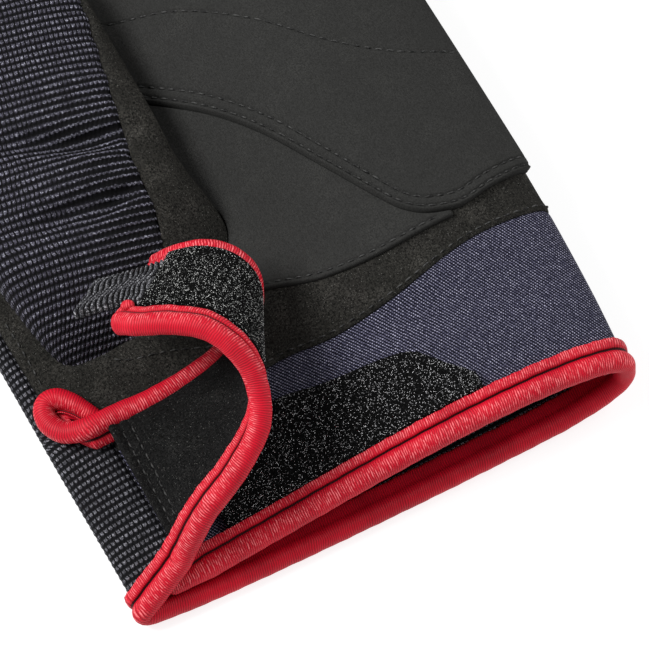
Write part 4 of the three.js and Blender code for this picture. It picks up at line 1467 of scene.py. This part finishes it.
slit = {
    "tilt": 131.0,
    "turnFrom": 0.77,
    "turnTo": 1.03,
    "taper": 0.7,
    "webDrop": 0.9,
    "strapTilt": 62.0,
    "reach": 2.4,
    "curlReach": 3.6,
    "curlFrom": 0.08,
    "curlTo": 0.56,
}
slitLine = tableOf(
    "x y z",
    (-39.5, 34.9, 9.3),
    (-40.9, 37.6, 9.9),
    (-42.4, 40.4, 9.9),
    (-44.3, 42.5, 9.6),
    (-46.3, 42.9, 9.2),
    (-47.6, 41.5, 8.9),
    (-47.7, 39.1, 8.9),
    (-46.6, 36.6, 9.4),
    (-44.6, 35.1, 10.2),
    (-42.5, 34.3, 11.1),
)


# The tape's end, folded over at the strap's tip
nub = {"inset": 2.8, "lift": 1.7, "back": 2.7, "length": 1.3, "width": 1.1, "height": 1.0}


def foldedNub():
    edge, out, face = (row[-1] for row in strapEdge(-1))
    run = unit(np.cross(out, face))
    run = run * np.sign(run @ (edge - strapEdge(-1)[0][-5]))
    centre = edge - out * nub["inset"] - face * nub["lift"] - run * nub["back"]
    t = np.linspace(-0.97, 0.97, 13)[:, None]
    turn = np.linspace(0, 2 * np.pi, 24, endpoint=False)[None]
    swell = np.sqrt(1 - t * t)
    sizes = nub["length"] * t + 0 * turn, nub["width"] * swell * np.cos(turn), nub["height"] * swell * np.sin(turn)
    rings = centre + sum(axis * size[..., None] for axis, size in zip((run, out, face), sizes))
    # Its painted light share is an even 0.6, a mild painted highlight.
    cloth = np.stack(np.broadcast_arrays(t * nub["length"], turn, 0.6), -1)
    return tube(rings, cloth)


def makeWristBinding():
    mouth, edge = mouthStations(), strapEdge(-1)
    parts = [np.concatenate(pair) for pair in zip(mouth, edge)]
    onEdge = np.arange(len(parts[0])) >= len(mouth[0]) - 4
    reach = np.where(onEdge, binding["strapReach"], binding["innerReach"])
    size = np.ones(len(reach))
    size[:8] = np.linspace(0.6, 1, 8)
    made = [sweep(*parts, size, reach, onEdge.astype(float)), foldedNub()]
    makePiece("wrist_binding_tape", made, [redBinding], ["wrist_binding"])


def makeSlitBinding():
    edge = strapEdge(1)
    at = np.linspace(0, 1, 49)
    line = np.stack([readTable(slitLine, axis, at) for axis in "xyz"], -1)
    run = unit(np.gradient(line, axis=0))
    inward = unit(np.stack([-run[:, 1], run[:, 0], 0 * at], -1))
    upward = np.broadcast_to([0.0, 0.0, 1.0], line.shape)
    flat = 1 - smooth(np.linspace(0, 1, len(edge[0])), slit["curlFrom"], slit["curlTo"])
    turned = lerp(slit["tilt"], slit["strapTilt"], smooth(at, slit["turnFrom"], slit["turnTo"]))
    tilt = np.radians(np.concatenate([turned, slit["strapTilt"] * flat]))[:, None]
    place, out, face = (np.concatenate(pair) for pair in zip((line, inward, upward), edge))
    out, face = out * np.cos(tilt) + face * np.sin(tilt), face * np.cos(tilt) - out * np.sin(tilt)
    size = np.ones(len(place))
    size[: len(at)] = lerp(slit["taper"], 1, smooth(at, 0.0, 0.45))
    reach = np.concatenate([np.full(len(at), slit["reach"]), lerp(slit["curlReach"], slit["reach"], flat)])
    # A sheet filling the hollow inside the slit binding's turn, in the darker red: painted shade.
    low = line - [0, 0, slit["webDrop"]]
    share = np.linspace(0.04, 1, 9)[:, None, None]
    web = lerp(low.mean(0), low, share)
    web[..., 2] += 0.25 * np.cos(8 * share[..., 0])
    made = [sweep(place, out, face, size, reach, np.ones(len(size))), shell(web, 0.5, 4, finish=1)]
    makePiece("slit_binding_tape", made, [redBinding, shadedRedHollow], ["slit_binding"])


makeBack()
makePalm()
makeThumb()
makeCuff()
makeOverlays()
makeLoopPatch()
makeStrap()
makeHooks()
makeTab()
makeWristBinding()
makeSlitBinding()
